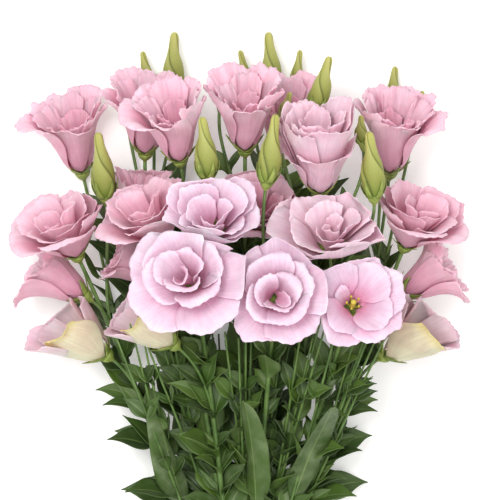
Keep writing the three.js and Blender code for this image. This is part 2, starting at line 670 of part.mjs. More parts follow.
function stemSolid(name) {
  const stem = STEMS[name];
  const foot = stemFoot(stem);
  const tail = foot.clone().setY(-TAIL - TAIL_SPREAD * chance(stem.across * 3 + stem.row * 7));
  const points = [tail, ...pointsOn(stemCurve(stem), STEM_STEPS)];
  const radii = points.map((_, k) => lerp(STEM_RADIUS, STEM_TIP_RADIUS, Math.max(0, k - 1) / STEM_STEPS));
  const stalk = Array(STALK_STEPS + 1).fill(STALK_RADIUS);
  const own = Object.values(organs).filter((organ) => organ.stem === name);
  const branches = own.filter((organ) => organ.from);
  return restingFlat(
    joined([
      loft(points, radii, STEM_SIDES),
      ...branches.map((organ) => loft(pointsOn(stalkCurve(organ), STALK_STEPS), stalk, STALK_SIDES)),
      ...own.map(cupSolid),
      ...leaves.filter((leaf) => leaf.stem === name).map(leafSolid),
    ]),
  );
}

// The band: a flat loop round the bundle's six outer stems.
function bandSolid() {
  const corners = [
    [1.5, 0],
    [1, 1],
    [-1, 1],
    [-1.5, 0],
    [-1, -1],
    [1, -1],
  ];
  const trace = (path, radius) =>
    corners.forEach(([across, row], k) => {
      const [first, last] = [rad(60 * k - 30), rad(60 * k + 30)];
      path.absarc(across * STEM_PITCH, row * ROW_HEIGHT, radius, first, last, false);
    });
  const shape = new THREE.Shape();
  trace(shape, STEM_RADIUS + GAP + BAND_WALL);
  const hole = new THREE.Path();
  trace(hole, STEM_RADIUS + GAP);
  shape.holes.push(hole);
  const geometry = new THREE.ExtrudeGeometry(shape, {
    depth: BAND_WIDTH,
    bevelEnabled: false,
    curveSegments: 2,
  });
  geometry.rotateX(Math.PI / 2);
  geometry.translate(0, BAND_WIDTH / 2, BUNDLE_Z);
  return solidFrom(geometry);
}

const finish = (color, roughness) => new THREE.MeshStandardMaterial({ color, roughness, metalness: 0 });
const PINK = finish(0xeab4c8, 0.6);
const PALE = finish(0xf0dfc4, 0.6);
const POLLEN_YELLOW = finish(0xb9ae3a, 0.6);
const BUD_GREEN = finish(0xb4bf6e, 0.55);
const LEAF_GREEN = finish(0x4f7a3c, 0.5);
const RUBBER = finish(0xc9a878, 0.7);

const bouquet = new THREE.Group();

function add(name, solid, material) {
  const { vertProperties, triVerts } = solid.getMesh();
  const geometry = new THREE.BufferGeometry();
  geometry.setAttribute("position", new THREE.BufferAttribute(vertProperties, 3));
  geometry.setIndex(new THREE.BufferAttribute(triVerts, 1));
  geometry.computeVertexNormals();
  const mesh = new THREE.Mesh(geometry, material);
  mesh.name = name;
  bouquet.add(mesh);
}

for (const name of Object.keys(FLOWERS))
  add(`flower_${name}`, flowerSolid(name), FLOWERS[name].form === "goblet" ? PALE : PINK);
for (const [name, flower] of Object.entries(FLOWERS))
  if (flower.form === "open") add(`pistil_${name}`, pistilSolid(flower), POLLEN_YELLOW);
for (const [name, bud] of Object.entries(BUDS)) add(name, budSolid(bud), BUD_GREEN);
for (const name of Object.keys(STEMS)) add(`stem_${name}`, stemSolid(name), LEAF_GREEN);
add("rubber_band", bandSolid(), RUBBER);

export default bouquet;
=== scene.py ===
"""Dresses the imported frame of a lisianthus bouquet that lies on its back, tied with a rubber band.

The layout and the formulas are those of the frame: millimetres, +Z up from the surface, +Y from the cut
ends to the flowers, turned to metres where a mesh is made. Each frame node gets one piece that stands
for it: petals in layers with waved edges, furled buds, and stems with their cups and leaves.
"""

import math

import bmesh
import bpy
import numpy as np
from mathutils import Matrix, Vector


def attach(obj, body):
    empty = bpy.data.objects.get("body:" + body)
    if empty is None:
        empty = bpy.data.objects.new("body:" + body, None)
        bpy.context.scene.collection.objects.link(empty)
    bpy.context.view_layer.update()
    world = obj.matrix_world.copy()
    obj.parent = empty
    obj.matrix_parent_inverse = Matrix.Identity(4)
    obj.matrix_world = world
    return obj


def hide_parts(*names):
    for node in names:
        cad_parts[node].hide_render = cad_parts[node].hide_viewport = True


bl_info = {
    "name": "Lisianthus bouquet",
    "version": (1, 0, 0),
    "blender": (4, 5, 0),
    "location": "View3D > Sidebar > Bouquet",
    "description": "Petals, buds, stems and leaves of a tied lisianthus bouquet",
    "category": "Add Mesh",
}

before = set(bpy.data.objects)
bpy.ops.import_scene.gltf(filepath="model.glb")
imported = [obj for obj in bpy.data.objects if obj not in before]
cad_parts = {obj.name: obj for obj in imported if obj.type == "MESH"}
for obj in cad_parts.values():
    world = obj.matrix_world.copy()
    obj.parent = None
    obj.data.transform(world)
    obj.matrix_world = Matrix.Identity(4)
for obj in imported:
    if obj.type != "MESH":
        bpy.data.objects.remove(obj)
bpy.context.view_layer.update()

MM = 0.001
CLEARANCE = 0.4  # of the middle of a petal or leaf over the surface, in millimetres

# The layout, as in the frame
GAP = 0.3
STEM_RADIUS = 2.5
STEM_TIP_RADIUS = 1.6
STEM_PITCH = 5.3
STEM_FAN = 7
STALK_RADIUS = 1.35
TAIL = 110
TAIL_SPREAD = 9
BAND_WALL = 1.6
PETAL_ROOM = 0.8  # the thickness of the frame's petals
CUP_LENGTH = 7
CUP_SEAT = 0.7  # share of the cup's length between its rim and the end of the stalk in it
CUP_WALL = 0.5
RIDGES = 4  # faint ones, along each stem and stalk
SEAT_RADIUS = 5.4
LEAF_ROOT = 0.8
STEM_STEPS = 6
STALK_STEPS = 4
WIDEST = 0.55  # share of a petal's length where it has spread to its full breadth

ROW_HEIGHT = STEM_PITCH * math.sin(math.pi / 3)
BUNDLE_Z = BAND_WALL + GAP + STEM_RADIUS + ROW_HEIGHT
UP = np.array([0.0, 0.0, 1.0])
ALONG = np.array([0.0, 1.0, 0.0])
RIGHT = np.array([1.0, 0.0, 0.0])

# across and row in the band, the flower at the tip, sides and levels of its leaves, side of its strap
STEMS = {
    "a": (-1.5, 0, "middle_1", (150, 205), (1, 2, 3, 4), 76),
    "b": (-0.5, 0, "middle_2", (165,), (2, 3), None),
    "c": (1.5, 0, "middle_5", (30, -25), (1, 2, 3, 4), None),
    "d": (-1, -1, "top_2", (212, 285), (1, 2), None),
    "e": (0, -1, "top_4", (270,), (2,), None),
    "f": (1, -1, "top_5", (-55, -105), (1, 2), None),
    "g": (-1, 1, "front_1", (135, 185), (2, 3, 4), None),
    "h": (0, 1, "front_2", (95,), (4,), 119),
    "i": (1, 1, "front_3", (45, -15), (2, 3, 4), 80),
    "j": (0.5, 0, "top_6", (70,), (2, 3), None),
}
# height above the band, length, breadth, breadth of the end, degrees from the stem at the two ends
LEAF_LEVELS = (
    (124, 120, 32, 0.66, (12, 32)),
    (126, 62, 26, 0.08, (35, 80)),
    (166, 50, 22, 0.08, (30, 75)),
    (203, 42, 13, 0.1, (25, 85)),
    (240, 40, 22, 0.15, (20, 50)),
)
STRAP_WAX = {"a": 1.0, "h": 0.55, "i": 0.6}  # how much of a strap its grey-green wax covers
# form, stem, foot, lean from +Y towards +X, degrees up from the surface, breadth, where the stalk leaves
FLOWERS = {
    "top_1": ("trumpet", "a", (-141, 414, 10), -13, 22, 84, 0.52),
    "top_2": ("trumpet", "d", (-86, 430, 42), 2, 25, 84, None),
    "top_3": ("trumpet", "b", (-55, 423, 92), -10, 30, 82, 0.6),
    "top_4": ("trumpet", "e", (0, 432, 84), 0, 28, 82, None),
    "top_5": ("trumpet", "f", (34, 425, 38), 3, 25, 86, None),
    "top_6": ("tall_rose", "j", (64, 396, 96), -3, 28, 100, None),
    "top_7": ("trumpet", "c", (124, 413, 48), 6, 24, 88, 0.52),
    "back_1": ("trumpet", "d", (-90, 368, 40), 2, 25, 84, 0.62),
    "back_2": ("rose", "e", (10, 366, 70), 2, 48, 92, 0.66),
    "middle_1": ("rose", "a", (-143, 342, 72), -25, 26, 92, None),
    "middle_2": ("rose", "b", (-70, 353, 96), -25, 26, 92, None),
    "middle_3": ("rose", "h", (-26, 359, 130), -5, 55, 86, 0.7),
    "middle_4": ("bowl", "i", (72, 345, 108), -3, 44, 114, 0.62),
    "middle_5": ("rose", "c", (136, 350, 72), 22, 26, 92, None),
    "side_1": ("trumpet", "a", (-136, 307, 58), -58, -5, 70, 0.66),
    "side_2": ("trumpet", "b", (-71, 322, 66), -58, 5, 72, 0.66),
    "side_3": ("trumpet", "c", (133, 309, 58), 58, -5, 70, 0.66),
    "half_open_1": ("goblet", "a", (-118, 257, 62), -54, 15, 82, 0.42),
    "half_open_2": ("goblet", "g", (-60, 267, 92), -51, 15, 74, 0.52),
    "half_open_3": ("goblet", "c", (118, 257, 62), 53, 15, 82, 0.42),
    "front_1": ("flat_rose", "g", (-44, 317, 134), -20, 70, 106, None),
    "front_2": ("flat_rose", "h", (25, 305, 134), 0, 75, 92, None),
    "front_3": ("open", "i", (90, 299, 122), 15, 72, 90, None),
}
# stem, foot, lean, degrees up from the surface, length, thickness, where the stalk leaves
BUDS = {
    "bud_01": ("a", (-119, 392, 66), -6, 10, 57, 21, 0.72),
    "bud_02": ("b", (-32, 408, 126), -2, 8, 52, 20, 0.72),
    "bud_03": ("h", (18, 404, 132), 8, 8, 58, 20, 0.66),
    "bud_04": ("j", (109, 392, 116), -3, 8, 56, 21, 0.66),
    "bud_05": ("d", (-62, 478, 14), -1, 2, 58, 20, 0.75),
    "bud_06": ("d", (-82, 480, 14), -8, 3, 40, 14, 0.7),
    "bud_07": ("d", (-104, 468, 14), -10, 4, 34, 13, 0.66),
    "bud_08": ("e", (-21, 472, 72), 8, 5, 34, 13, 0.78),
    "bud_09": ("f", (3, 480, 14), -8, 3, 41, 13, 0.66),
    "bud_10": ("f", (22, 478, 14), 1, 2, 58, 20, 0.75),
    "bud_11": ("f", (42, 480, 14), 9, 3, 41, 13, 0.7),
    "bud_12": ("j", (60, 466, 80), 14, 5, 48, 18, 0.78),
    "bud_13": ("c", (125, 465, 7), 10, 1, 42, 15, 0.62),
    "bud_14": ("c", (148, 456, 8), 14, 3, 30, 12, 0.6),
    "bud_15": ("j", (33, 458, 88), 8, 5, 24, 12, 0.72),
    "bud_16": ("j", (100, 438, 88), -8, 5, 24, 12, 0.74),
}
MIRRORED = ("top_7", "middle_5", "side_3", "half_open_3")
MIDDLES = {
    "trumpet": 0.42,
    "rose": 0.32,
    "flat_rose": 0.24,
    "bowl": 0.28,
    "tall_rose": 0.42,
    "open": 0.24,
    "goblet": 0.42,
}

# The petals of each form, from the outside in. Each has: the side it stands on in degrees, where 270 faces
# up, half its breadth in degrees, its length as a share of the flower's, the radius it starts on, degrees
# from the axis at its foot and its tip, how late it turns outwards, how much its rim curls back, how far
# its edge waves, and how deep in the flower it is.
PETALS = {
    "trumpet": (
        (270, 50, 0.78, 3.6, 13, 62, 3.2, 26, 0.35, 0),
        (342, 50, 0.84, 3.6, 13, 62, 3.2, 8, 0.7, 0),
        (54, 50, 0.9, 3.6, 12, 50, 3.0, 0, 1.1, 0),
        (126, 50, 0.9, 3.6, 12, 50, 3.0, 0, 1.1, 0),
        (198, 50, 0.9, 3.6, 14, 92, 3.2, 14, 0.7, 0),
        (306, 46, 0.7, 2.6, 10, 40, 3.0, 6, 0.6, 0.5),
        (18, 46, 0.8, 2.6, 10, 40, 3.0, 0, 0.9, 0.5),
        (90, 48, 0.86, 2.6, 9, 38, 3.0, 0, 1.2, 0.5),
        (162, 46, 0.82, 2.6, 10, 46, 3.0, 0, 0.9, 0.5),
        (234, 46, 0.72, 2.6, 10, 42, 3.0, 6, 0.6, 0.5),
        (60, 70, 0.68, 1.4, 5, 22, 2.6, 0, 0.8, 1),
        (200, 70, 0.62, 1.4, 5, 22, 2.6, 0, 0.6, 1),
        (310, 60, 0.58, 1.4, 5, 22, 2.6, 0, 0.5, 1),
    ),
    "rose": (
        (268, 54, 0.6, 3.7, 36, 60, 2.0, 66, 0.25, 0),
        (340, 52, 0.62, 3.7, 35, 60, 2.0, 48, 0.35, 0),
        (50, 52, 0.66, 3.7, 34, 58, 2.0, 10, 0.6, 0),
        (122, 52, 0.68, 3.7, 34, 56, 2.0, 10, 0.6, 0),
        (194, 52, 0.62, 3.7, 37, 66, 2.0, 48, 0.35, 0),
        (304, 62, 0.55, 2.8, 25, 40, 2.0, 44, 0.3, 0.3),
        (34, 60, 0.6, 2.8, 24, 42, 2.0, 12, 0.5, 0.3),
        (124, 60, 0.62, 2.8, 24, 40, 2.0, 10, 0.5, 0.3),
        (216, 62, 0.55, 2.8, 26, 42, 2.0, 40, 0.3, 0.3),
        (355, 70, 0.55, 1.9, 14, 22, 2.0, 10, 0.3, 0.6),
        (125, 70, 0.57, 1.9, 14, 22, 2.0, 10, 0.3, 0.6),
        (250, 74, 0.49, 1.9, 15, 24, 2.0, 26, 0.2, 0.6),
        (235, 100, 0.46, 0.4, 8, 10, 2.0, 0, 0.2, 0.95),
    ),
    "flat_rose": (
        (264, 52, 0.62, 3.7, 42, 80, 1.2, 40, 0.3, 0),
        (334, 50, 0.59, 3.7, 42, 80, 1.2, 34, 0.35, 0),
        (46, 50, 0.61, 3.7, 42, 78, 1.2, 16, 0.5, 0),
        (118, 50, 0.58, 3.7, 42, 78, 1.2, 20, 0.5, 0),
        (192, 51, 0.6, 3.7, 42, 80, 1.2, 40, 0.3, 0),
        (292, 70, 0.56, 2.8, 29, 44, 1.7, 84, 0.2, 0.3),
        (30, 62, 0.53, 2.8, 26, 40, 1.7, 56, 0.25, 0.3),
        (128, 64, 0.55, 2.8, 26, 40, 1.7, 60, 0.25, 0.3),
        (214, 66, 0.54, 2.8, 29, 46, 1.7, 80, 0.2, 0.3),
        (340, 76, 0.5, 2.1, 15, 22, 1.8, 66, 0.15, 0.6),
        (100, 78, 0.5, 2.1, 14, 20, 1.8, 50, 0.2, 0.6),
        (228, 82, 0.45, 2.1, 17, 28, 1.8, 84, 0.15, 0.6),
        (150, 112, 0.42, 0.4, 8, 10, 1.8, 30, 0.15, 0.95),
    ),
    "bowl": (
        (270, 52, 0.57, 3.7, 40, 82, 1.5, 14, 0.45, 0),
        (342, 52, 0.57, 3.7, 38, 80, 1.5, 8, 0.6, 0),
        (54, 52, 0.58, 3.7, 38, 74, 1.5, 4, 0.7, 0),
        (126, 52, 0.58, 3.7, 38, 74, 1.5, 4, 0.7, 0),
        (198, 52, 0.57, 3.7, 38, 80, 1.5, 8, 0.6, 0),
        (312, 56, 0.49, 2.8, 29, 58, 1.5, 8, 0.5, 0.25),
        (36, 56, 0.51, 2.8, 28, 54, 1.5, 4, 0.6, 0.25),
        (126, 56, 0.51, 2.8, 28, 54, 1.5, 4, 0.6, 0.25),
        (222, 56, 0.49, 2.8, 29, 58, 1.5, 8, 0.5, 0.25),
        (0, 64, 0.42, 1.9, 17, 36, 1.5, 4, 0.5, 0.5),
        (120, 64, 0.43, 1.9, 16, 34, 1.5, 4, 0.5, 0.5),
        (245, 64, 0.38, 1.9, 17, 36, 1.5, 8, 0.4, 0.5),
        (50, 100, 0.36, 0.5, 8, 14, 1.5, 0, 0.4, 0.7),
        (230, 100, 0.32, 0.5, 8, 14, 1.5, 0, 0.4, 0.7),
    ),
    "tall_rose": (
        (270, 56, 0.58, 3.7, 17, 50, 3.0, 60, 0.3, 0),
        (346, 46, 0.74, 3.7, 18, 96, 3.0, 30, 0.5, 0),
        (50, 50, 0.86, 3.7, 15, 48, 3.0, 0, 1.1, 0),
        (126, 50, 0.86, 3.7, 15, 48, 3.0, 0, 1.1, 0),
        (196, 46, 0.74, 3.7, 18, 96, 3.0, 30, 0.5, 0),
        (300, 58, 0.8, 2.8, 12, 32, 2.6, 30, 0.6, 0.35),
        (30, 58, 0.84, 2.8, 11, 32, 2.6, 8, 0.9, 0.35),
        (122, 58, 0.84, 2.8, 11, 32, 2.6, 8, 0.9, 0.35),
        (214, 58, 0.8, 2.8, 12, 32, 2.6, 30, 0.6, 0.35),
        (350, 66, 0.82, 2.0, 8, 20, 2.6, 6, 0.8, 0.6),
        (110, 66, 0.84, 2.0, 8, 20, 2.6, 4, 0.9, 0.6),
        (230, 66, 0.8, 2.0, 8, 20, 2.6, 8, 0.7, 0.6),
        (60, 90, 0.8, 1.2, 4, 10, 2.6, 0, 0.6, 0.8),
        (240, 90, 0.77, 1.2, 4, 10, 2.6, 0, 0.5, 0.8),
    ),
    "open": (
        (270, 54, 0.57, 3.6, 34, 84, 1.2, 10, 0.5, 0),
        (342, 54, 0.57, 3.6, 34, 84, 1.2, 10, 0.5, 0),
        (54, 54, 0.57, 3.6, 34, 82, 1.2, 8, 0.5, 0),
        (126, 54, 0.57, 3.6, 34, 82, 1.2, 8, 0.5, 0),
        (198, 54, 0.57, 3.6, 34, 84, 1.2, 10, 0.5, 0),
        (315, 54, 0.51, 2.9, 29, 68, 1.2, 14, 0.45, 0.2),
        (45, 54, 0.49, 2.9, 29, 62, 1.2, 8, 0.45, 0.2),
        (135, 54, 0.5, 2.9, 29, 64, 1.2, 8, 0.45, 0.2),
        (225, 54, 0.51, 2.9, 29, 68, 1.2, 14, 0.45, 0.2),
        (330, 44, 0.27, 4.4, 22, 34, 1.2, 70, 0.3, 0.5),
    ),
    "goblet": (
        (8, 66, 0.84, 3.6, 26, 46, 2.2, 0, 0.3, 0),
        (90, 66, 0.86, 3.6, 20, 30, 2.2, 0, 0.35, 0),
        (172, 66, 0.82, 3.6, 22, 26, 2.2, 0, 0.3, 0),
        (40, 64, 0.78, 2.4, 14, 26, 2.2, 0, 0.4, 0.5),
        (145, 64, 0.76, 2.4, 14, 26, 2.2, 0, 0.4, 0.5),
        (250, 66, 0.84, 3.6, 34, 12, 0.9, 80, 0.15, 0),
    ),
}
BELLIES = {  # how much wider in degrees the petals stand at their very foot
    "trumpet": 34,
    "rose": 18,
    "flat_rose": 8,
    "bowl": 14,
    "tall_rose": 36,
    "open": 6,
    "goblet": 24,
}
HOLLOWS = {  # how far the heart stands to one side, which leaves a hollow on the other
    "trumpet": 2,
    "rose": 7,
    "flat_rose": 9,
    "bowl": 6,
    "tall_rose": 3,
    "open": 0,
    "goblet": 0,
}
ROUNDINGS = {"flat_rose": 0.14, "open": 0.2, "rose": 0.14}  # how far a petal's corners fall short of its tip
PALENESS = {
    "front_1": 0.2,
    "front_2": 0.16,
    "front_3": 0.06,
    "middle_3": 0.22,
    "middle_4": 0.36,
    "top_6": 0.26,
}
SHORTENED = {"back_1": 0.76, "back_2": 0.9}  # where a neighbour's cup stands close in front
CREAM_PETALS = {"goblet": 5}  # the petal that stays cream and yellow-tipped, by its place in the list
CREAM_PINCH = 0.5  # how much narrower its folded tip is


def chance(seed):
    """A repeatable number from 0 to 1 for each seed."""
    s = math.sin(seed * 12.9898 + 4.1414) * 43758.5453
    return s - math.floor(s)


def lerp(first, last, share):
    return first + (last - first) * share


def smooth(x, low, high):
    """0 below low, 1 above high, and an even slope between them."""
    t = np.clip((np.asarray(x, float) - low) / (high - low), 0, 1)
    return t * t * (3 - 2 * t)


def unit(vector):
    return vector / np.linalg.norm(vector)


def frame_of(at, lean, face):
    """An organ's foot and the three directions at it: to its side, over it, and along its axis."""
    lean, face = math.radians(lean), math.radians(face)
    axis = np.array([math.sin(lean) * math.cos(face), math.cos(lean) * math.cos(face), math.sin(face)])
    side = unit(np.cross(axis, UP if abs(axis[2]) < 0.9 else ALONG))
    return np.array(at, float), side, np.cross(axis, side), axis


def place(organ_frame, x, y, z):
    """Points given in an organ's own directions, in the bouquet's."""
    origin, side, over, axis = organ_frame
    return origin + np.multiply.outer(x, side) + np.multiply.outer(y, over) + np.multiply.outer(z, axis)


def bezier(ends, t):
    t = np.asarray(t, float)[..., None]
    a, b, c, d = ends
    return (1 - t) ** 3 * a + 3 * t * (1 - t) ** 2 * b + 3 * t * t * (1 - t) * c + t**3 * d


FRAMES = {name: frame_of(*row[2:5]) for name, row in FLOWERS.items()}
FRAMES.update({name: frame_of(*row[1:4]) for name, row in BUDS.items()})
STEM_OF = {name: row[1] for name, row in FLOWERS.items()}
STEM_OF.update({name: row[0] for name, row in BUDS.items()})
BRANCH = {name: row[6] for name, row in {**FLOWERS, **BUDS}.items()}


def stem_foot(name):
    across, row = STEMS[name][:2]
    return np.array([across * STEM_PITCH, STEM_FAN, BUNDLE_Z + row * ROW_HEIGHT])


def stalk_end(organ):
    origin, _, _, axis = FRAMES[organ]
    return origin - axis * (GAP + CUP_LENGTH * CUP_SEAT)


def stem_curve(name):
    foot = stem_foot(name)
    tip = STEMS[name][2]
    end = stalk_end(tip)
    reach = np.linalg.norm(end - foot)
    return foot, lerp(foot, end, 0.3) + ALONG * reach * 0.02, end - FRAMES[tip][3] * reach * 0.22, end


def stalk_curve(organ):
    stem = stem_curve(STEM_OF[organ])
    start = bezier(stem, BRANCH[organ])
    onwards = unit(bezier(stem, BRANCH[organ] + 0.05) - start)
    end = stalk_end(organ)
    reach = np.linalg.norm(end - start)
    return start, start + onwards * reach * 0.35, end - FRAMES[organ][3] * reach * 0.3, end


def green_runs():
    """Each straight run of stem, stalk, cup or bud: its two ends, radius, organ and stem."""
    found = []

    def add(points, radius, owner, stem):
        found.extend((a, b, radius, owner, stem) for a, b in zip(points, points[1:]))

    for name, stem in STEMS.items():
        add(bezier(stem_curve(name), np.linspace(0, 1, STEM_STEPS + 1)), STEM_RADIUS, stem[2], name)
    for organ in FRAMES:
        if BRANCH[organ]:
            curve = bezier(stalk_curve(organ), np.linspace(0, 1, STALK_STEPS + 1))
            add(curve, STALK_RADIUS, organ, STEM_OF[organ])
        bud = BUDS.get(organ)
        far, radius = (bud[4], bud[5] / 2 + 2) if bud else (CUP_LENGTH * 1.6, SEAT_RADIUS + 4)
        ends = place(FRAMES[organ], np.zeros(2), np.zeros(2), np.array([-CUP_LENGTH, far]))
        add(ends, radius, organ, STEM_OF[organ])
    return found


RUNS = green_runs()


def run_gaps(points, runs):
    """How far each point is from the surface of each run."""
    starts = np.array([run[0] for run in runs])
    ways = np.array([run[1] for run in runs]) - starts
    to_points = points[:, None] - starts
    shares = np.clip((to_points * ways).sum(2) / (ways * ways).sum(1), 0, 1)
    away = np.linalg.norm(to_points - shares[..., None] * ways, axis=2)
    return away - np.array([run[2] for run in runs])


FLOOR = (np.array([0, 0, -0.8]), -UP, 1.5)  # a wall under the surface, as flower_walls gives them


def flower_centre(name):
    origin, _, _, axis = FRAMES[name]
    return origin + axis * FLOWERS[name][5] * MIDDLES[FLOWERS[name][0]]


def nearest_on(a, b, point):
    run = b - a
    return a + run * np.clip(np.dot(point - a, run) / np.dot(run, run), 0, 1)


APPROACHES = 15  # after which the nearest points hardly move


def nearest_pair(a, b, c, d):
    """The points of two straight runs that are nearest to each other."""
    first, second = (a + b) / 2, (c + d) / 2
    for _ in range(APPROACHES):
        first = nearest_on(a, b, second)
        second = nearest_on(c, d, first)
    return first, second


WALL_SLANT = 0.5  # so that in front the higher flower's rim lies over the lower one's
SOFTNESS = 4  # millimetres before a wall from which on petals and leaves bend
GREEN_SOFTNESS = 3  # the same for a petal before a stem, stalk, cup or bud
REACH_SHARE = 0.62  # share of a flower's breadth that it may reach from its centre


def flower_walls(name):
    """The flat walls between a flower and what lies round it: a point, the way out, and how soft it is."""
    centre, wide = flower_centre(name), FLOWERS[name][5]
    walls = [FLOOR]
    for other, row in FLOWERS.items():
        away = flower_centre(other) - centre
        length = np.linalg.norm(away)
        if other != name and length <= (wide + row[5]) * REACH_SHARE:
            over = 1 if flower_centre(other)[2] > centre[2] else -1
            slant = unit(away / length + over * WALL_SLANT * UP)
            walls.append((centre + away * wide / (wide + row[5]), slant, SOFTNESS))
    for a, b, radius, owner, _ in RUNS:
        near = nearest_on(a, b, centre)
        length = np.linalg.norm(near - centre)
        if owner != name and length <= wide * REACH_SHARE + radius:
            out = (near - centre) / length
            walls.append((near - out * radius, out, GREEN_SOFTNESS))
    return walls


FLOWER_WALLS = {name: flower_walls(name) for name in FLOWERS}


BENDINGS = 3  # because bending clear of one wall may bring a point nearer to another


def bent_clear(points, walls, share):
    """Bends points back inside the walls, more and more softly towards each wall."""
    rest = GAP + PETAL_ROOM / 2
    for _ in range(BENDINGS):
        for wall, out, soft in walls:
            past = (points - wall) @ out
            kept = -rest - (soft - rest) * np.exp(-np.maximum(past + soft, 0) / (soft - rest))
            points = points + np.where(past > -soft, (kept - past) * share, 0)[:, None] * out
    return points


LINE_POINTS = 80  # of the line that a petal follows from its foot to its rim


def petal_line(kind, wide, order):
    """How a petal's radius, height and angle run from its foot to its rim."""
    _, _, long, start, base, tip, flare, curl, _, _ = PETALS[kind][order]
    steps = np.linspace(0, 1, LINE_POINTS)
    bulge = BELLIES[kind] * (1 - smooth(steps, 0, 0.32))
    angles = np.radians(base + (tip - base) * steps**flare + bulge + curl * smooth(steps, 0.8, 1))
    between = (angles[1:] + angles[:-1]) / 2
    step = long * wide / (LINE_POINTS - 1)
    radii = start + np.concatenate([[0], np.cumsum(np.sin(between)) * step])
    heights = 1 + np.concatenate([[0], np.cumsum(np.cos(between)) * step])
    return steps, radii, heights, angles


def petal_form(name, order):
    """The formula of one petal. Its sines, from long to short waves, make no two petals alike."""
    kind, wide = FLOWERS[name][0], FLOWERS[name][5]
    side, breadth, *_, frill, depth = PETALS[kind][order]
    flower = list(FLOWERS).index(name)
    seed = flower * 31 + order * 1.7
    phase = [chance(seed + k) * 2 * math.pi for k in range(9)]
    size = SHORTENED.get(name, 1) * (0.95 + 0.09 * chance(seed + 0.3))
    steps, radii, heights, angles = petal_line(kind, wide * size, order)
    turned = 6.28 * chance(seed // 31 * 2.3)
    hollow = HOLLOWS[kind] * depth * np.array([math.cos(turned), math.sin(turned)])
    peak = 0.07 * chance(seed + 0.6) if chance(seed + 0.8) > 0.4 else 0
    around = math.radians(side + (chance(seed + 0.5) - 0.5) * 12)
    flip = -1 if name in MIRRORED else 1
    cream = CREAM_PETALS.get(kind) == order
    pinch = CREAM_PINCH if cream else 0.12
    rounding = ROUNDINGS.get(kind, 0.11)
    tone = chance(seed + 0.9)
    pale = PALENESS.get(name, 0) + 0.15 * chance(seed + 0.4)

    def form(across, along):
        u, v = across * flip, 0.04 + 0.96 * along * (1.25 - 0.25 * along)
        ragged = 0.014 * np.sin(7 * u + phase[0]) + 0.009 * np.sin(29 * u + phase[1])
        point = peak * np.exp(-(((u - 0.3) / 0.13) ** 2)) * v**5
        short = rounding * np.abs(u) ** 2.6 * v * v
        reach = v * (1 - short + point - peak * v**5 + ragged * smooth(v, 0.7, 1))
        radius, height, angle = (np.interp(reach, steps, line) for line in (radii, heights, angles))
        widening = np.sin(np.minimum(v / WIDEST, 1) * math.pi / 2) * (1 - pinch * smooth(v, 0.5, 1))
        theta = around + math.radians(breadth) * widening * u
        sway = 2.2 * v**2.5 * np.sin(2.8 * u + phase[2]) + 0.9 * v * v * np.sin(5.3 * u + phase[3])
        pleats = 0.16 * v * (np.sin(11 * u + phase[3]) + 0.6 * np.sin(19 * u + phase[4]))
        ruffle = smooth(v, 0.5, 1) ** 1.6 * (np.sin(9 * u + phase[5]) + 0.7 * np.sin(16 * u + phase[6]))
        crimp = smooth(v, 0.8, 1) * (0.6 * np.sin(26 * u + phase[7]) + 0.5 * np.sin(39 * u + phase[8]))
        lift = (0.055 * radius + 0.5 + depth) * u * smooth(v, 0, 0.5)
        off = sway + pleats + frill * (ruffle + crimp) + lift
        r = radius + off * np.cos(angle)
        x = r * np.cos(theta) + hollow[0] * smooth(v, 0.1, 0.9)
        y = r * np.sin(theta) + hollow[1] * smooth(v, 0.1, 0.9)
        points = place(FRAMES[name], flip * x, y, height - off * np.sin(angle))
        points = bent_clear(points, FLOWER_WALLS[name], smooth(v, 0.25, 0.5))
        return points, np.stack([u, v, 0 * u + tone], 1), (depth, cream, pale)

    return form


def path_of(points):
    """A path's length, the share of it at each of its points, and the formula of where it runs."""
    lengths = np.concatenate([[0], np.cumsum(np.linalg.norm(np.diff(points, axis=0), axis=1))])
    shares = lengths / lengths[-1]

    def run(along):
        return np.stack([np.interp(along, shares, axis) for axis in points.T], 1)

    return lengths[-1], shares, run


def tube_form(points, radii, ridges=0, ridge_depth=0):
    """The formula of a tube through points, closed across, with a radius at each point."""
    length, shares, run = path_of(np.array(points, float))

    def form(across, along):
        tangent = run(along + 0.01) - run(along - 0.01)
        tangent /= np.linalg.norm(tangent, axis=1)[:, None]
        side = np.cross(tangent, RIGHT)
        side /= np.linalg.norm(side, axis=1)[:, None]
        over = np.cross(side, tangent)
        angle = across * math.pi
        radius = np.interp(along, shares, radii) * (1 + ridge_depth * np.cos(ridges * angle))
        out = np.sin(angle)[:, None] * side + np.cos(angle)[:, None] * over
        return run(along) + out * radius[:, None], np.stack([across, along, along * length], 1), 0

    return form


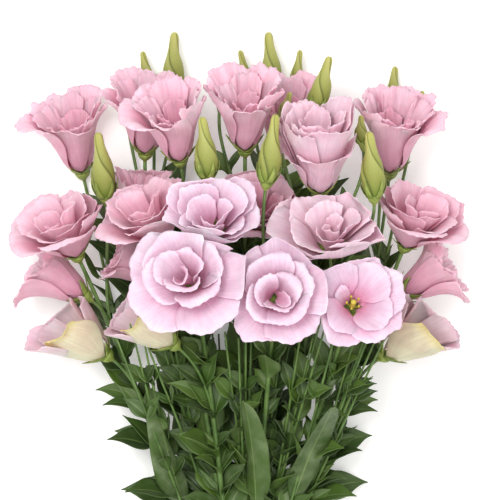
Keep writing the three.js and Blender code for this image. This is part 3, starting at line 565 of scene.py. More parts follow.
def bent_sheets(name, patches, weld=0.0, closed=True):
    """One mesh of grids that formulas bend. Each patch is its columns, its rows and its formula.

    A formula takes how far across (-1 to 1) and along (0 to 1) each point is. It gives the points in
    millimetres, and the two sets of three numbers that the materials read as blade and tint.
    """
    shape = bmesh.new()
    for columns, rows, _ in patches:
        bmesh.ops.create_grid(shape, x_segments=columns, y_segments=rows, size=1)
    mesh = bpy.data.meshes.new(name)
    shape.to_mesh(mesh)
    flat = np.empty(len(mesh.vertices) * 3)
    mesh.vertices.foreach_get("co", flat)
    flat = flat.reshape(-1, 3)
    points, blade, tint = np.empty((3, *flat.shape))
    start = 0
    for columns, rows, form in patches:
        part = slice(start, start + (columns + 1) * (rows + 1))
        points[part], blade[part], tint[part] = form(flat[part, 0], (flat[part, 1] + 1) / 2)
        start = part.stop
    points[:, 2] = np.maximum(points[:, 2], CLEARANCE)
    mesh.vertices.foreach_set("co", (points * MM).ravel())
    for label, values in (("blade", blade), ("tint", tint)):
        mesh.attributes.new(label, "FLOAT_VECTOR", "POINT").data.foreach_set("vector", values.ravel())
    if weld:
        shape.clear()
        shape.from_mesh(mesh)
        bmesh.ops.remove_doubles(shape, verts=shape.verts, dist=weld * MM)
        if closed:
            edges = [edge for edge in shape.edges if edge.is_boundary]
            bmesh.ops.holes_fill(shape, edges=edges, sides=0)
        bmesh.ops.recalc_face_normals(shape, faces=shape.faces)
        shape.to_mesh(mesh)
    shape.free()
    mesh.polygons.foreach_set("use_smooth", np.ones(len(mesh.polygons), bool))
    piece = bpy.data.objects.new(name, mesh)
    bpy.context.scene.collection.objects.link(piece)
    return piece


def thicken(piece, thick, inner_material=False):
    solid = piece.modifiers.new("thickness", "SOLIDIFY")
    solid.thickness = thick * MM
    solid.offset = 0
    solid.use_even_offset = False
    if inner_material:
        solid.material_offset = 1


def dress(piece, slot, materials, *nodes):
    """Gives a piece its materials and seats it on the bouquet's one body, in place of its frame nodes."""
    for material in materials:
        piece.data.materials.append(material)
    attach(piece, "root")
    if nodes:
        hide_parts(*nodes)


# Materials


MIX = {"data_type": "RGBA"}
MULTIPLY = {"data_type": "RGBA", "blend_type": "MULTIPLY"}
TIMES = {"operation": "MULTIPLY"}


def linear(colour):
    """A hex sRGB colour as linear red, green, blue and alpha. A colour property is linear already."""
    if not isinstance(colour, str):
        return [*colour, 1]
    channels = [int(colour[k : k + 2], 16) / 255 for k in (1, 3, 5)]
    return [c / 12.92 if c <= 0.04045 else ((c + 0.055) / 1.055) ** 2.4 for c in channels] + [1]


def feed(tree, target, **inputs):
    """Sets a node's inputs. Each is a value, or a socket that the input is linked to."""
    for name, value in inputs.items():
        socket = target.inputs[int(name[1:]) if name[1:].isdigit() else name.replace("_", " ")]
        if isinstance(value, bpy.types.NodeSocket):
            tree.links.new(value, socket)
        else:
            socket.default_value = value


def node(tree, kind, settings=None, output=0, stops=(), **inputs):
    """Adds a node with its settings and links, and gives one of its outputs, or all of them for None."""
    added = tree.nodes.new("ShaderNode" + kind)
    for name, value in (settings or {}).items():
        setattr(added, name, value)
    for _ in stops[2:]:
        added.color_ramp.elements.new(0.5)
    for k, (position, colour) in enumerate(stops):
        added.color_ramp.elements[k].position = position
        added.color_ramp.elements[k].color = linear(colour)
    feed(tree, added, **inputs)
    return added.outputs if output is None else added.outputs[output]


def new_material(name, **inputs):
    material = bpy.data.materials.new(name)
    material.use_nodes = True
    shader = material.node_tree.nodes["Principled BSDF"]
    feed(material.node_tree, shader, **inputs)
    return material, material.node_tree, shader


def marks_of(tree):
    """A piece's own marks: the blade vector, then the three numbers in its blade and in its tint."""
    blade, tint = (
        node(tree, "Attribute", {"attribute_name": label}, "Vector") for label in ("blade", "tint")
    )
    return blade, *(node(tree, "SeparateXYZ", output=None, Vector=vector) for vector in (blade, tint))


def clouds(tree, size, detail=3):
    """Soft patches, about this many millimetres across."""
    place_now = node(tree, "TexCoord", output="Object")
    return node(tree, "TexNoise", Vector=place_now, Scale=1 / (size * MM), Detail=detail)


def veined(tree, colour, blade, counts, shades, share, strength, depth=0.0004, **noise):
    """A colour with darker veins, and their relief. The counts are of veins for each unit of blade."""
    stretched = node(tree, "VectorMath", TIMES, i0=blade, i1=counts)
    veins = node(tree, "TexNoise", Vector=stretched, Scale=1, **noise)
    shades = node(tree, "ValToRGB", stops=shades, Fac=veins)
    colour = node(tree, "Mix", MULTIPLY, 2, i0=share, i6=colour, i7=shades)
    return colour, node(tree, "Bump", Strength=strength, Distance=depth, Height=veins)


def speckled_material(name, size, stops, **finish):
    material, tree, shader = new_material(name, **finish)
    feed(tree, shader, Base_Color=node(tree, "ValToRGB", stops=stops, Fac=clouds(tree, size)))
    return material


def petal_material(name, colours, cream):
    """Fresh petal: thin, moist cells that scatter light, so it is soft, a little velvety and veined."""
    material, tree, shader = new_material(
        name,
        Roughness=0.62,
        IOR=1.4,
        Subsurface_Weight=0.35,
        Subsurface_Radius=(0.006, 0.0022, 0.0028),
        Subsurface_Scale=0.6,
        Sheen_Weight=0.12,
        Sheen_Roughness=0.5,
    )
    blade, (_, along, _), (depth, is_cream, pale) = marks_of(tree)
    fresh = node(tree, "ValToRGB", stops=colours, Fac=along)
    # painted shade: the deeper a petal sits in the flower, the more it takes of the fold's shaded colour
    painted_heart_shade = node(tree, "Mix", MIX, 2, i0=depth, i6=fresh, i7=linear(colours[1][1]))
    inward = node(tree, "Math", TIMES, i0=depth, i1=0.35)
    fresh = node(tree, "Mix", MIX, 2, i0=inward, i6=fresh, i7=painted_heart_shade)
    fresh = node(tree, "Mix", MIX, 2, i0=pale, i6=fresh, i7=linear("#F9EAF3"))
    folded = ((0.0, "#8A9A45"), (0.2, cream), (0.75, cream), (1.0, "#DFD480"))
    folded = node(tree, "ValToRGB", stops=folded, Fac=along)
    fresh = node(tree, "Mix", MIX, 2, i0=is_cream, i6=fresh, i7=folded)
    # veins 1.25 mm apart across a half petal of 32 mm and 25 mm long on one of 52 mm, others on each petal
    counts = 32 / 1.25, 52 / 25, 14.4
    shades = (0.3, "#D8D8D8"), (0.7, "#FFFFFF")
    noise = {"Detail": 5, "Roughness": 0.62}
    fresh, relief = veined(tree, fresh, blade, counts, shades, 0.55, 0.35, 0.0006, **noise)
    patches = node(tree, "ValToRGB", stops=((0.35, "#EAD9E0"), (0.65, "#FFFFFF")), Fac=clouds(tree, 14))
    fresh = node(tree, "Mix", MULTIPLY, 2, i0=0.5, i6=fresh, i7=patches)
    feed(tree, shader, Base_Color=fresh, Normal=relief)
    return material


PETAL_COLOURS = {  # foot, fold with painted shade down in the throat, body and rim, outside and inside. A word is one of the colour properties
    # the pale rim stops are painted light shining through the thin petal edge
    "rose_pink": (
        ((0.0, "#C9B07C"), (0.12, "#DD92A9"), (0.55, "pink"), (0.97, "#F3C6D3")),
        ((0.0, "#C07A78"), (0.25, "#DA708F"), (0.6, "pink"), (0.95, "#F6C7D5")),
    ),
    "lilac_pink": (
        ((0.0, "#D8B48A"), (0.15, "#E99EBD"), (0.6, "lilac"), (0.97, "#EFCFE1")),
        ((0.0, "#CF8090"), (0.22, "#EC84AF"), (0.58, "lilac"), (0.92, "#EFCFE2")),
    ),
    "beige_pink": (
        ((0.0, "#B9B97A"), (0.25, "#D9C8AE"), (0.65, "beige"), (0.97, "#E7CBD2")),
        ((0.0, "#C9B48A"), (0.25, "#D8B2AC"), (0.6, "beige"), (0.97, "#E9CCD6")),
    ),
}


def petal_colour(name):
    kind = FLOWERS[name][0]
    if kind == "goblet":
        return "beige_pink"
    return "lilac_pink" if name.startswith("front") or name == "middle_3" else "rose_pink"


def petal_materials(chosen):
    made = {}
    for label, sides in PETAL_COLOURS.items():
        for part, stops in zip(("outside", "inside"), sides):
            stops = [(at, colour if colour[0] == "#" else getattr(chosen, colour)) for at, colour in stops]
            made[label, part] = petal_material(f"{label}_petal_{part}", stops, chosen.cream)
    return made


def green_material(name, deep, light, patch, roughness, coat):
    """Fresh green skin: waxy, with a faint bloom and fine lengthwise lines."""
    material, tree, shader = new_material(
        name, Roughness=roughness, IOR=1.42, Coat_Weight=coat, Coat_Roughness=0.4
    )
    colour = node(tree, "ValToRGB", stops=((0.32, deep), (0.68, light)), Fac=clouds(tree, patch, 4))
    blade = node(tree, "Attribute", {"attribute_name": "blade"}, "Vector")
    # lines 0.374 mm apart round a stem and 33.3 mm long; the third number of blade is in millimetres
    counts = math.pi * STEM_RADIUS / 0.374, 1.5, 1 / 33.3
    shades = (0.3, "#BFC7B4"), (0.7, "#FFFFFF")
    colour, relief = veined(tree, colour, blade, counts, shades, 0.5, 0.4, Detail=4)
    feed(tree, shader, Base_Color=colour, Normal=relief)
    return material


def leaf_material(green):
    """Leaf: waxy skin with a grey-green bloom that rubs off in places, a pale midrib and fine veins."""
    material, tree, shader = new_material(
        "waxy_leaf", Roughness=0.5, IOR=1.42, Subsurface_Weight=0.05, Subsurface_Radius=(0.001, 0.002, 0.0005)
    )
    _, (across, along, _), (bloom, tone, _) = marks_of(tree)
    wax = clouds(tree, 16, 4)
    skin = node(tree, "ValToRGB", stops=((0.0, "#263B10"), (0.5, green), (1.0, "#546F28")), Fac=tone)
    waxed = node(tree, "ValToRGB", stops=((0.3, "#4A5A38"), (0.7, "#76865F")), Fac=wax)
    rubbed = node(tree, "ValToRGB", stops=((0.3, "#5A5A5A"), (0.6, "#FFFFFF")), Fac=wax)
    amount = node(tree, "Math", TIMES, i0=bloom, i1=rubbed)
    colour = node(tree, "Mix", MIX, 2, i0=amount, i6=skin, i7=waxed)
    # the midrib is about a millimetre wide, and side veins leave it at a slant, 3.49 mm apart on a 50 mm leaf
    middle = node(tree, "Math", {"operation": "ABSOLUTE"}, i0=across)
    rib = node(tree, "ValToRGB", stops=((0.0, "#FFFFFF"), (0.07, "#000000")), Fac=middle)
    colour = node(tree, "Mix", MIX, 2, i0=rib, i6=colour, i7=linear("#71864F"))
    slant = node(tree, "Math", {"operation": "MULTIPLY_ADD"}, i0=middle, i1=-0.35, i2=along)
    lines = node(tree, "Math", TIMES, i0=slant, i1=2 * math.pi * 50 / 3.49)
    waves = node(tree, "Math", {"operation": "SINE"}, i0=lines)
    shades = (0.0, "#FFFFFF"), (0.8, "#FFFFFF"), (1.0, "#DDE6D2")
    shades = node(tree, "ValToRGB", stops=shades, Fac=waves)
    colour = node(tree, "Mix", MULTIPLY, 2, i0=0.6, i6=colour, i7=shades)
    relief = node(tree, "Bump", Strength=0.3, Distance=0.0004, Height=wax)
    feed(tree, shader, Base_Color=colour, Normal=relief)
    return material


def bud_material(green):
    """Furled bud: thin petals wound up, green at the base and towards cream at the tip, with painted shade in
    the folds.
    """
    depths = (0.003, 0.003, 0.001)
    material, tree, shader = new_material(
        "furled_bud_petals", Roughness=0.62, IOR=1.4, Subsurface_Weight=0.12, Subsurface_Radius=depths
    )
    blade, (_, along, _), (fold, _, _) = marks_of(tree)
    ripening = (0.0, "#7F9540"), (0.25, green), (0.7, "#B4B56E"), (1.0, "#C2BE70")
    colour = node(tree, "ValToRGB", stops=ripening, Fac=along)
    # painted shade: darkest in the crease under the proud edge of the petal before, lighter further out
    edge = node(tree, "ValToRGB", stops=((0.0, "#5C6B2C"), (0.16, "#E4E8C8"), (0.9, "#FFFFFF")), Fac=fold)
    colour = node(tree, "Mix", MULTIPLY, 2, i0=0.75, i6=colour, i7=edge)
    # a grain 0.45 mm across on a bud 20 mm thick and 0.5 mm along
    counts = 10.8 / 0.45, 4, 1 / 0.5
    shades = (0.3, "#B2B88C"), (0.65, "#FFFFFF")
    colour, relief = veined(tree, colour, blade, counts, shades, 0.5, 0.3, Detail=4)
    feed(tree, shader, Base_Color=colour, Normal=relief)
    return material


# Pieces


def bud_radius(v):
    """The share of its thickness that a bud has along its length: round below, with a narrow neck."""
    shares = (0, 0.06, 0.15, 0.28, 0.4, 0.52, 0.64, 0.76, 0.88, 0.96, 1)
    fullness = (0.44, 0.7, 0.93, 1.0, 0.97, 0.83, 0.6, 0.46, 0.4, 0.35, 0.16)
    return np.interp(v, shares, fullness)


BUD_TURNS = 0.42  # of its petals, from foot to tip


def bud_form(name):
    """The formula of a furled bud: its petals wind round it, and each one's edge stands a little proud."""
    long, wide = BUDS[name][4:6]
    start, bend, way = (chance(int(name[-2:]) * 3.1 + k) for k in range(3))

    def form(across, along):
        fold = (3 * (across / 2 + 0.5) + 1e-6) % 1
        proud = 0.17 * (fold**1.5 - 0.4) * smooth(along, 0.04, 0.35)
        radius = bud_radius(along) * wide / 2 * (0.97 + proud)
        angle = (across - 2 * BUD_TURNS * smooth(along, 0, 1.1)) * math.pi + start * 6
        lean = (1.2 + 1.6 * bend) * smooth(along, 0.45, 1)
        x = radius * np.cos(angle) + lean * math.cos(way * 6.28)
        y = radius * np.sin(angle) + lean * math.sin(way * 6.28)
        points = place(FRAMES[name], x, y, along * long)
        return points, np.stack([across * 3, along, along * long], 1), fold[:, None]

    return form


def place_round(organ, radius, angle, height):
    return place(FRAMES[organ], radius * np.cos(angle), radius * np.sin(angle), height)


SEPALS = 5


def cup_patches(organ):
    """The green cup at an organ's foot, and the narrow sepals round it."""
    bud = BUDS.get(organ)
    rim = (bud[5] * 0.46 / 2 if bud else SEAT_RADIUS) + GAP + 0.8
    shares = np.array([0, 0.2, 0.45, 0.75, 1.0])
    outline = np.array([STALK_RADIUS * 0.9, STALK_RADIUS * 1.5, rim * 0.7, rim * 0.92, rim])
    heights = lerp(-GAP - CUP_LENGTH * 0.95, 1.2, shares)
    seed = list(FRAMES).index(organ)

    def cup(across, along):
        angle = across * math.pi
        ribs = 1 + 0.07 * np.cos(SEPALS * angle) * smooth(along, 0.1, 0.6)
        radius = np.interp(along, shares, outline) * ribs
        points = place_round(organ, radius, angle, np.interp(along, shares, heights))
        return points, np.stack([across * 2, along, along * 9], 1), 0

    reach, spread = (bud[4] * 0.28, 0) if bud else (13 + 3 * chance(seed), 3)
    sepals = [(4, 8, sepal_form(organ, seed, k, rim, reach, spread)) for k in range(SEPALS)]
    return [(20, 6, cup), *sepals]


def sepal_form(organ, seed, k, rim, reach, spread):
    """A pointed sepal with a keel, close along the outermost petals or the bud."""
    bud = BUDS.get(organ)
    around = (k + 0.1 + 0.2 * chance(seed * SEPALS + k)) / SEPALS * 2 * math.pi
    if not bud:
        kind, wide = FLOWERS[organ][0], FLOWERS[organ][5]
        petal_long = PETALS[kind][0][2] * wide
        steps, radii, heights, _ = petal_line(kind, wide, 0)

    def form(across, along):
        height = along * reach
        if bud:
            radius = bud_radius(height / bud[4]) * bud[5] / 2 * 1.04 + 0.8
            radius = np.maximum(radius, rim * (1 - along))
        else:
            share = height / petal_long
            radius = np.interp(share, steps, radii) + 1.7 + spread * along * along
            height = np.interp(share, steps, heights)
        radius = radius + 0.6 * (1 - np.abs(across)) * (1 - along)
        half = (0.3 * bud[5] / 2 if bud else 4.2) * (1 - along**1.4) + 0.1
        points = place_round(organ, radius, around + across * half / np.maximum(radius, 2), height)
        return points, np.stack([across, along, along * reach], 1), 0

    return form


HALVINGS = 16


def share_at(curve, height):
    """The share of a curve at which it reaches a height, by halving."""
    low, high = 0.0, 1.0
    for _ in range(HALVINGS):
        middle = (low + high) / 2
        if bezier(curve, middle)[1] < height:
            low = middle
        else:
            high = middle
    return low


def leaf_line(leaf, v):
    """How far ahead along the stem and how far out from it a leaf's middle is, and its angle there."""
    first, last = (math.radians(angle) for angle in leaf["arch"])
    angle = lerp(first, last, v)
    ahead = leaf["long"] * (np.sin(angle) - math.sin(first)) / (last - first)
    away = leaf["long"] * (math.cos(first) - np.cos(angle)) / (last - first)
    return ahead, away, angle


def leaf_middle(leaf, v):
    ahead, away, _ = leaf_line(leaf, v)
    return leaf["root"] + leaf["ahead"] * ahead + leaf["out"] * (LEAF_ROOT + away)


def leaf_at(stem, curve, share, side, long, broad, arch, seed, tip=0.05, wax=0):
    """A leaf that grows at a share of a curve, towards one side in degrees."""
    root = bezier(curve, share)
    ahead = unit(bezier(curve, share + 0.02) - root)
    angle = math.radians(side)
    out = np.array([math.cos(angle), 0, math.sin(angle)])
    out = unit(out - ahead * np.dot(out, ahead))
    leaf = {"stem": stem, "root": root, "ahead": ahead, "out": out, "long": long, "broad": broad}
    leaf.update(arch=arch, seed=seed, tip=tip, wax=wax)
    leaf["ends"] = leaf_middle(leaf, 0.05), leaf_middle(leaf, 0.95)
    return leaf


def grown_leaf(stem, curve, share, side, sway, long, breadth, arch, seed):
    """A small leaf that only fills. Its seed turns it by up to half its sway, and bends it further."""
    side += sway * (chance(seed) - 0.5)
    first, more, last, further = arch
    arch = first + more * chance(seed + 0.6), last + further * chance(seed + 0.8)
    return leaf_at(stem, curve, share, side, long, long * breadth, arch, seed)


def leaves_of(name):
    """The leaves that the frame has too."""
    _, _, _, sides, levels, strap = STEMS[name]
    curve = stem_curve(name)
    places = [(level, side, k) for level in levels for k, side in enumerate(sides)]
    if strap:
        places.append((0, strap, 0))
    found = []
    for level, side, k in places:
        seed = list(STEMS).index(name) * 17 + level * 3 + k
        height, long, broad, tip, arch = LEAF_LEVELS[level]
        share = share_at(curve, height + 12 * (chance(seed * 1.7) - 0.5) + 5 * k)
        side += 24 * (chance(seed + 0.6) - 0.5)
        size = 0.9 + 0.2 * chance(seed + 0.2)
        wax = 0 if level else STRAP_WAX[name]
        found.append(leaf_at(name, curve, share, side, long * size, broad * size, arch, seed, tip, wax))
    return found


LEAVES = [leaf for name in STEMS for leaf in leaves_of(name)]
REACHING_LEAVES = (  # stem, height, side in degrees and length of those that reach out under the flowers
    ("d", 286, 175, 80),
    ("d", 306, 185, 84),
    ("d", 326, 175, 84),
    ("d", 346, 185, 80),
    ("a", 282, 15, 52),
    ("c", 282, 165, 52),
    ("j", 290, 0, 70),
    ("j", 312, -15, 76),
    ("j", 334, 0, 76),
    ("f", 330, 10, 84),
    ("f", 352, 0, 84),
)
FIRST_FILLER = 900  # the seeds from here on are of the leaves that only fill
SHOOT_SEEDS = 2000
STALK_SEEDS = 4000
REACHING_SEEDS = 5000
FIRST_PAIR = 84  # height of the lowest pair of them
BARE_ABOVE = 290  # height above which the stems that FILLED_TO doesn't name have no such leaves
UNDER_FLOWERS = 275  # height above which these leaves are long again, and lie flat under the flowers
# height of the last of them
FILLED_TO = {"a": 345, "b": 345, "c": 345, "d": 405, "e": 380, "f": 405, "j": 385}


def filling_leaves(name):
    """The pairs of leaves up a stem, each pair a quarter turn from the last. They get shorter upwards."""
    curve = stem_curve(name)
    order = list(STEMS).index(name)
    behind = STEMS[name][1] < 0
    found = []
    pitch = 20 if behind else 24
    for level, height in enumerate(range(FIRST_PAIR, FILLED_TO.get(name, BARE_ABOVE), pitch)):
        share = share_at(curve, height + 8 * (chance(order * 7 + level) - 0.5))
        far, last = (56, 30) if behind or height > UNDER_FLOWERS else (26, 60)
        for k in (0, 1):
            seed = FIRST_FILLER + order * 40 + level * 2 + k
            side = (40 + 90 * level if height < 300 else 0) + 180 * k
            shown = side + 50 * (chance(seed) - 0.5)
            if not behind and height > 100 and math.sin(math.radians(shown)) > 0.3 and STEMS[name][5]:
                continue
            long = lerp(62, far, min(level / 4, 1)) * (0.85 + 0.3 * chance(seed + 0.2))
            breadth = 0.4 + 0.12 * chance(seed + 0.4)
            arch = (10, 14, last, 30)
            found.append(grown_leaf(name, curve, share, side, 50, long, breadth, arch, seed))
    for order, organ in enumerate(FRAMES):
        if STEM_OF[organ] == name and BRANCH[organ]:
            found += stalk_leaves(organ, order)
    for k, (stem, height, side, long) in enumerate(REACHING_LEAVES):
        if stem == name:
            share = share_at(curve, height)
            seed = REACHING_SEEDS + k
            found.append(leaf_at(name, curve, share, side, long, long * 0.36, (28, 55), seed, tip=0.1))
    return found


def stalk_leaves(organ, order):
    """The narrow leaves at the joints of a flower's or bud's own stalk."""
    stem, curve = STEM_OF[organ], stalk_curve(organ)
    found = []
    for k, share in enumerate((0.05, 0.1, 0.4, 0.45)):
        seed = STALK_SEEDS + order * 10 + k
        long = lerp(50, 34, share / 0.45) * (0.85 + 0.3 * chance(seed + 0.2))
        side = 180 * (k % 2)
        found.append(grown_leaf(stem, curve, share, side, 60, long, 0.38, (10, 10, 25, 25), seed))
    return found


SHOOTS_IN_ALL = 34
SHOOTS_FROM, SHOOTS_TO = -106, 126  # where the first and the last end, from left to right
SHOOT_TOP = 272  # lowest height that they end at
SHOOT_RADII = 1.4, 0.8


def side_shoots():
    """Thin shoots that leave the stems low down and end out of sight behind the flowers."""
    runs = list(RUNS)
    tips = {name: bezier(stem_curve(name), share_at(stem_curve(name), SHOOT_TOP + 8)) for name in STEMS}
    found = []
    for k in range(SHOOTS_IN_ALL):
        across = lerp(SHOOTS_FROM, SHOOTS_TO, k / (SHOOTS_IN_ALL - 1)) + 5 * (chance(k * 2.7) - 0.5)
        stem = min(tips, key=lambda name: abs(tips[name][0] - across) + 12 * chance(k * 5.1 + tips[name][2]))
        curve = stem_curve(stem)
        start = bezier(curve, share_at(curve, 60 + 70 * chance(k * 1.3)))
        onwards = unit(bezier(curve, share_at(curve, start[1]) + 0.05) - start)
        choices = []
        for rise in range(14, 112, 7):
            end = np.array([across, SHOOT_TOP + 26 * chance(k * 4.3), rise])
            reach = np.linalg.norm(end - start)
            line = (start, start + onwards * reach * 0.35, end - unit(end - start) * reach * 0.25, end)
            room = run_gaps(bezier(line, np.linspace(0.2, 1, 12)), runs).min()
            choices.append((min(room, 4) + rise * 0.01, rise, line))
        line = max(choices)[2]
        found.append((stem, line))
        points = bezier(line, np.linspace(0.2, 1, 6))
        runs += [(a, b, 1.2) for a, b in zip(points, points[1:])]
    return found


SHOOTS = side_shoots()


def shoot_leaves(stem, line, order):
    """Three pairs of small leaves along a shoot."""
    found = []
    for level in range(3):
        for k in (0, 1):
            seed = SHOOT_SEEDS + order * 20 + level * 2 + k
            side = 20 + 90 * level + 180 * k
            long = 24 + 12 * chance(seed + 0.3)
            share = 0.22 + 0.2 * level
            found.append(grown_leaf(stem, line, share, side, 60, long, 0.42, (8, 10, 30, 40), seed))
    return found


def leaf_walls(leaf):
    """The walls between a leaf and the stems, the other leaves and the flowers round it."""
    walls = [FLOOR]
    centre = sum(leaf["ends"]) / 2
    near_by = run_gaps(centre[None], RUNS)[0] < leaf["broad"] + leaf["long"] / 2
    for a, b, radius, _, stem in (RUNS[k] for k in np.flatnonzero(near_by)):
        mine, theirs = nearest_pair(*leaf["ends"], a, b)
        gap = np.linalg.norm(theirs - mine)
        if stem != leaf["stem"] and 1e-6 <= gap <= leaf["broad"] + radius:
            out = (theirs - mine) / gap
            walls.append((theirs - out * radius, out, SOFTNESS))
    for other in LEAVES:
        run = unit(leaf["ends"][1] - leaf["ends"][0] + other["ends"][1] - other["ends"][0])
        away = sum(other["ends"]) / 2 - centre
        past = abs(np.dot(away, run))
        away = away - run * np.dot(away, run)
        gap = np.linalg.norm(away)
        if other["stem"] == leaf["stem"] or past > (leaf["long"] + other["long"]) * 0.5:
            continue
        if gap <= leaf["broad"] + other["broad"]:
            walls.append((centre + away / 2, away / gap, SOFTNESS))
    for name, row in FLOWERS.items():
        centre = flower_centre(name)
        near = nearest_on(*leaf["ends"], centre)
        if np.linalg.norm(near - centre) > row[5] * 0.6 + leaf["broad"]:
            continue
        origin, _, _, axis = FRAMES[name]
        out = unit(centre - near)
        behind, beside = (origin - axis, axis, SOFTNESS), (centre - out * row[5] * 0.5, out, SOFTNESS)
        starts_behind = np.dot(leaf["root"] - origin, axis) < 0
        if leaf["seed"] >= FIRST_FILLER:
            past = [max(np.dot(end - wall, way) for end in leaf["ends"]) for wall, way, _ in (behind, beside)]
            starts_behind = past[0] < past[1]
        walls.append(behind if starts_behind else beside)
    return walls


LEAF_TWIST = 1.0  # radians that a leaf which points to the side turns by, so that its face looks up


def leaf_form(leaf):
    """The formula of a leaf: an arching blade with a creased midrib and slightly waved edges."""
    walls = leaf_walls(leaf)
    over = np.cross(leaf["ahead"], leaf["out"])
    directions = leaf["root"], leaf["ahead"], leaf["out"], over
    twist = -LEAF_TWIST * over[2]
    phase = chance(leaf["seed"] + 0.4) * 6.28
    bloom = leaf["wax"] or 0.05 + 0.4 * chance(leaf["seed"] + 0.1)
    tone = chance(leaf["seed"] + 0.9)

    def form(across, along):
        u, v = across, along
        ahead, away, angle = leaf_line(leaf, v)
        widening = np.sin(np.minimum(v / 0.4, 1) * math.pi / 2)
        half = leaf["broad"] / 2 * lerp(1, leaf["tip"], smooth(v, 0.5, 1)) * np.maximum(widening, 0.1)
        half = half * np.sqrt(np.maximum(1 - (np.maximum(v - 0.86, 0) / 0.145) ** 2, 0.0))
        crease = 0.9 * np.minimum(np.abs(u) * 5, 1) * smooth(v, 0, 0.2) * (1 - v)
        waves = 0.07 * half * np.abs(u) ** 3 * np.sin(9 * v + phase + 2 * u)
        fold = 0.3 * half * u * u + crease + waves
        turn = twist * smooth(v, 0.05, 0.45)
        inwards = fold * np.cos(turn) + half * u * np.sin(turn)
        ahead = ahead + inwards * np.sin(angle)
        away = LEAF_ROOT + away - inwards * np.cos(angle)
        points = place(directions, ahead, away, half * u * np.cos(turn) - fold * np.sin(turn))
        points = bent_clear(points, walls, smooth(v, 0.02, 0.25))
        return points, np.stack([u, v, 0 * u + tone], 1), (bloom, tone, tone)

    return form


def has_room(leaf):
    """Whether a leaf keeps most of its length and breadth between what it is bent clear of."""
    points = leaf_form(leaf)(np.array([-1.0, 1.0, 0.0, 0.0]), np.array([0.45, 0.45, 0.05, 0.95]))[0]
    breadth, length = np.linalg.norm(points[1] - points[0]), np.linalg.norm(points[3] - points[2])
    return breadth > 0.6 * leaf["broad"] and length > 0.8 * np.linalg.norm(leaf["ends"][1] - leaf["ends"][0])


class BouquetSizes(bpy.types.PropertyGroup):
    petal_thickness: bpy.props.FloatProperty(
        name="Petal thickness", description="Thickness of a petal", default=0.0004, unit="LENGTH"
    )
    leaf_thickness: bpy.props.FloatProperty(
        name="Leaf thickness", description="Thickness of a leaf", default=0.0006, unit="LENGTH"
    )
    petal_columns: bpy.props.IntProperty(
        name="Petal columns", description="Faces across each petal", default=32, min=6
    )
    petal_rows: bpy.props.IntProperty(
        name="Petal rows", description="Faces along each petal", default=14, min=4
    )


def colour_property(label, description, colour):
    """A colour that a user may change, from its hex value."""
    return bpy.props.FloatVectorProperty(
        name=label, description=description, default=linear(colour)[:3], size=3, min=0, max=1, subtype="COLOR"
    )


class BouquetColours(bpy.types.PropertyGroup):
    pink: colour_property("Pink", "Body of the petals at the top and the sides", "#E8A5B9")
    lilac: colour_property("Lilac", "Body of the petals of the flowers in front", "#EFBAD4")
    beige: colour_property("Beige", "Body of the half-open flowers' petals", "#DFC2C1")
    cream: colour_property("Cream", "The outermost petal of each half-open flower", "#DED3B2")
    bud: colour_property("Bud", "Middle of the closed buds", "#979C50")
    leaf: colour_property("Leaf", "Skin of the leaves", "#38531B")
    stem: colour_property("Stem", "Skin of the stems and stalks", "#728F4C")


class BOUQUET_OT_flowers(bpy.types.Operator):
    """Makes the open and half-open flowers"""

    bl_idname = "bouquet.flowers"
    bl_label = "Flowers"

    def execute(self, context):
        sizes = context.scene.bouquet_sizes
        made = petal_materials(context.scene.bouquet_colours)
        for name, row in FLOWERS.items():
            forms = [petal_form(name, k) for k in range(len(PETALS[row[0]]))]
            patches = [(sizes.petal_columns, sizes.petal_rows, form) for form in forms]
            piece = bent_sheets(f"petals_{name}", patches)
            thicken(piece, sizes.petal_thickness / MM, inner_material=True)
            slot = "pale_petals" if row[0] == "goblet" else "pink_petals"
            materials = [made[petal_colour(name), side] for side in ("outside", "inside")]
            dress(piece, slot, materials, f"flower_{name}")
        return {"FINISHED"}


# height and radius at each point of the pistil: ovary, style and stigma
PISTIL = ((2.5, 1.4), (4, 2.1), (6, 2.4), (9, 1.7), (13, 0.8), (14.6, 2.1), (16, 2.4), (17.5, 1.1))
# distance from the axis, height and radius at each point of a stamen: thread and pollen sac
STAMEN = ((1, 4, 0.4), (4, 9, 0.4), (5.2, 12.5, 0.45), (5.5, 13, 1.0), (5.6, 15.5, 1.0), (5.5, 16, 0.3))


class BOUQUET_OT_pistil(bpy.types.Operator):
    """Makes the pistil and stamens of the open flower"""

    bl_idname = "bouquet.pistil"
    bl_label = "Pistil"

    def execute(self, context):
        heights, radii = zip(*PISTIL)
        patches = [(20, 28, tube_form([place_round("front_3", 0, 0, height) for height in heights], radii))]
        outs, heights, radii = (np.array(numbers) for numbers in zip(*STAMEN))
        for k in range(5):
            line = place_round("front_3", outs, k / 5 * 2 * math.pi, heights)
            patches.append((10, 18, tube_form(line, radii)))
        piece = bent_sheets("pistil_and_stamens", patches, weld=0.02)
        # pollen and stigma: dry grains that scatter light, so they are matt and speckled
        grains = (0.35, "#A89A2C"), (0.65, "#D8CC5A")
        material = speckled_material("pollen_yellow", 1.1, grains, Roughness=0.7)
        dress(piece, "pollen", [material], "pistil_front_3")
        return {"FINISHED"}


class BOUQUET_OT_buds(bpy.types.Operator):
    """Makes the closed buds"""

    bl_idname = "bouquet.buds"
    bl_label = "Buds"

    def execute(self, context):
        material = bud_material(context.scene.bouquet_colours.bud)
        for name in BUDS:
            piece = bent_sheets(f"furled_{name}", [(54, 30, bud_form(name))], weld=0.01)
            dress(piece, "bud_green", [material], name)
        return {"FINISHED"}


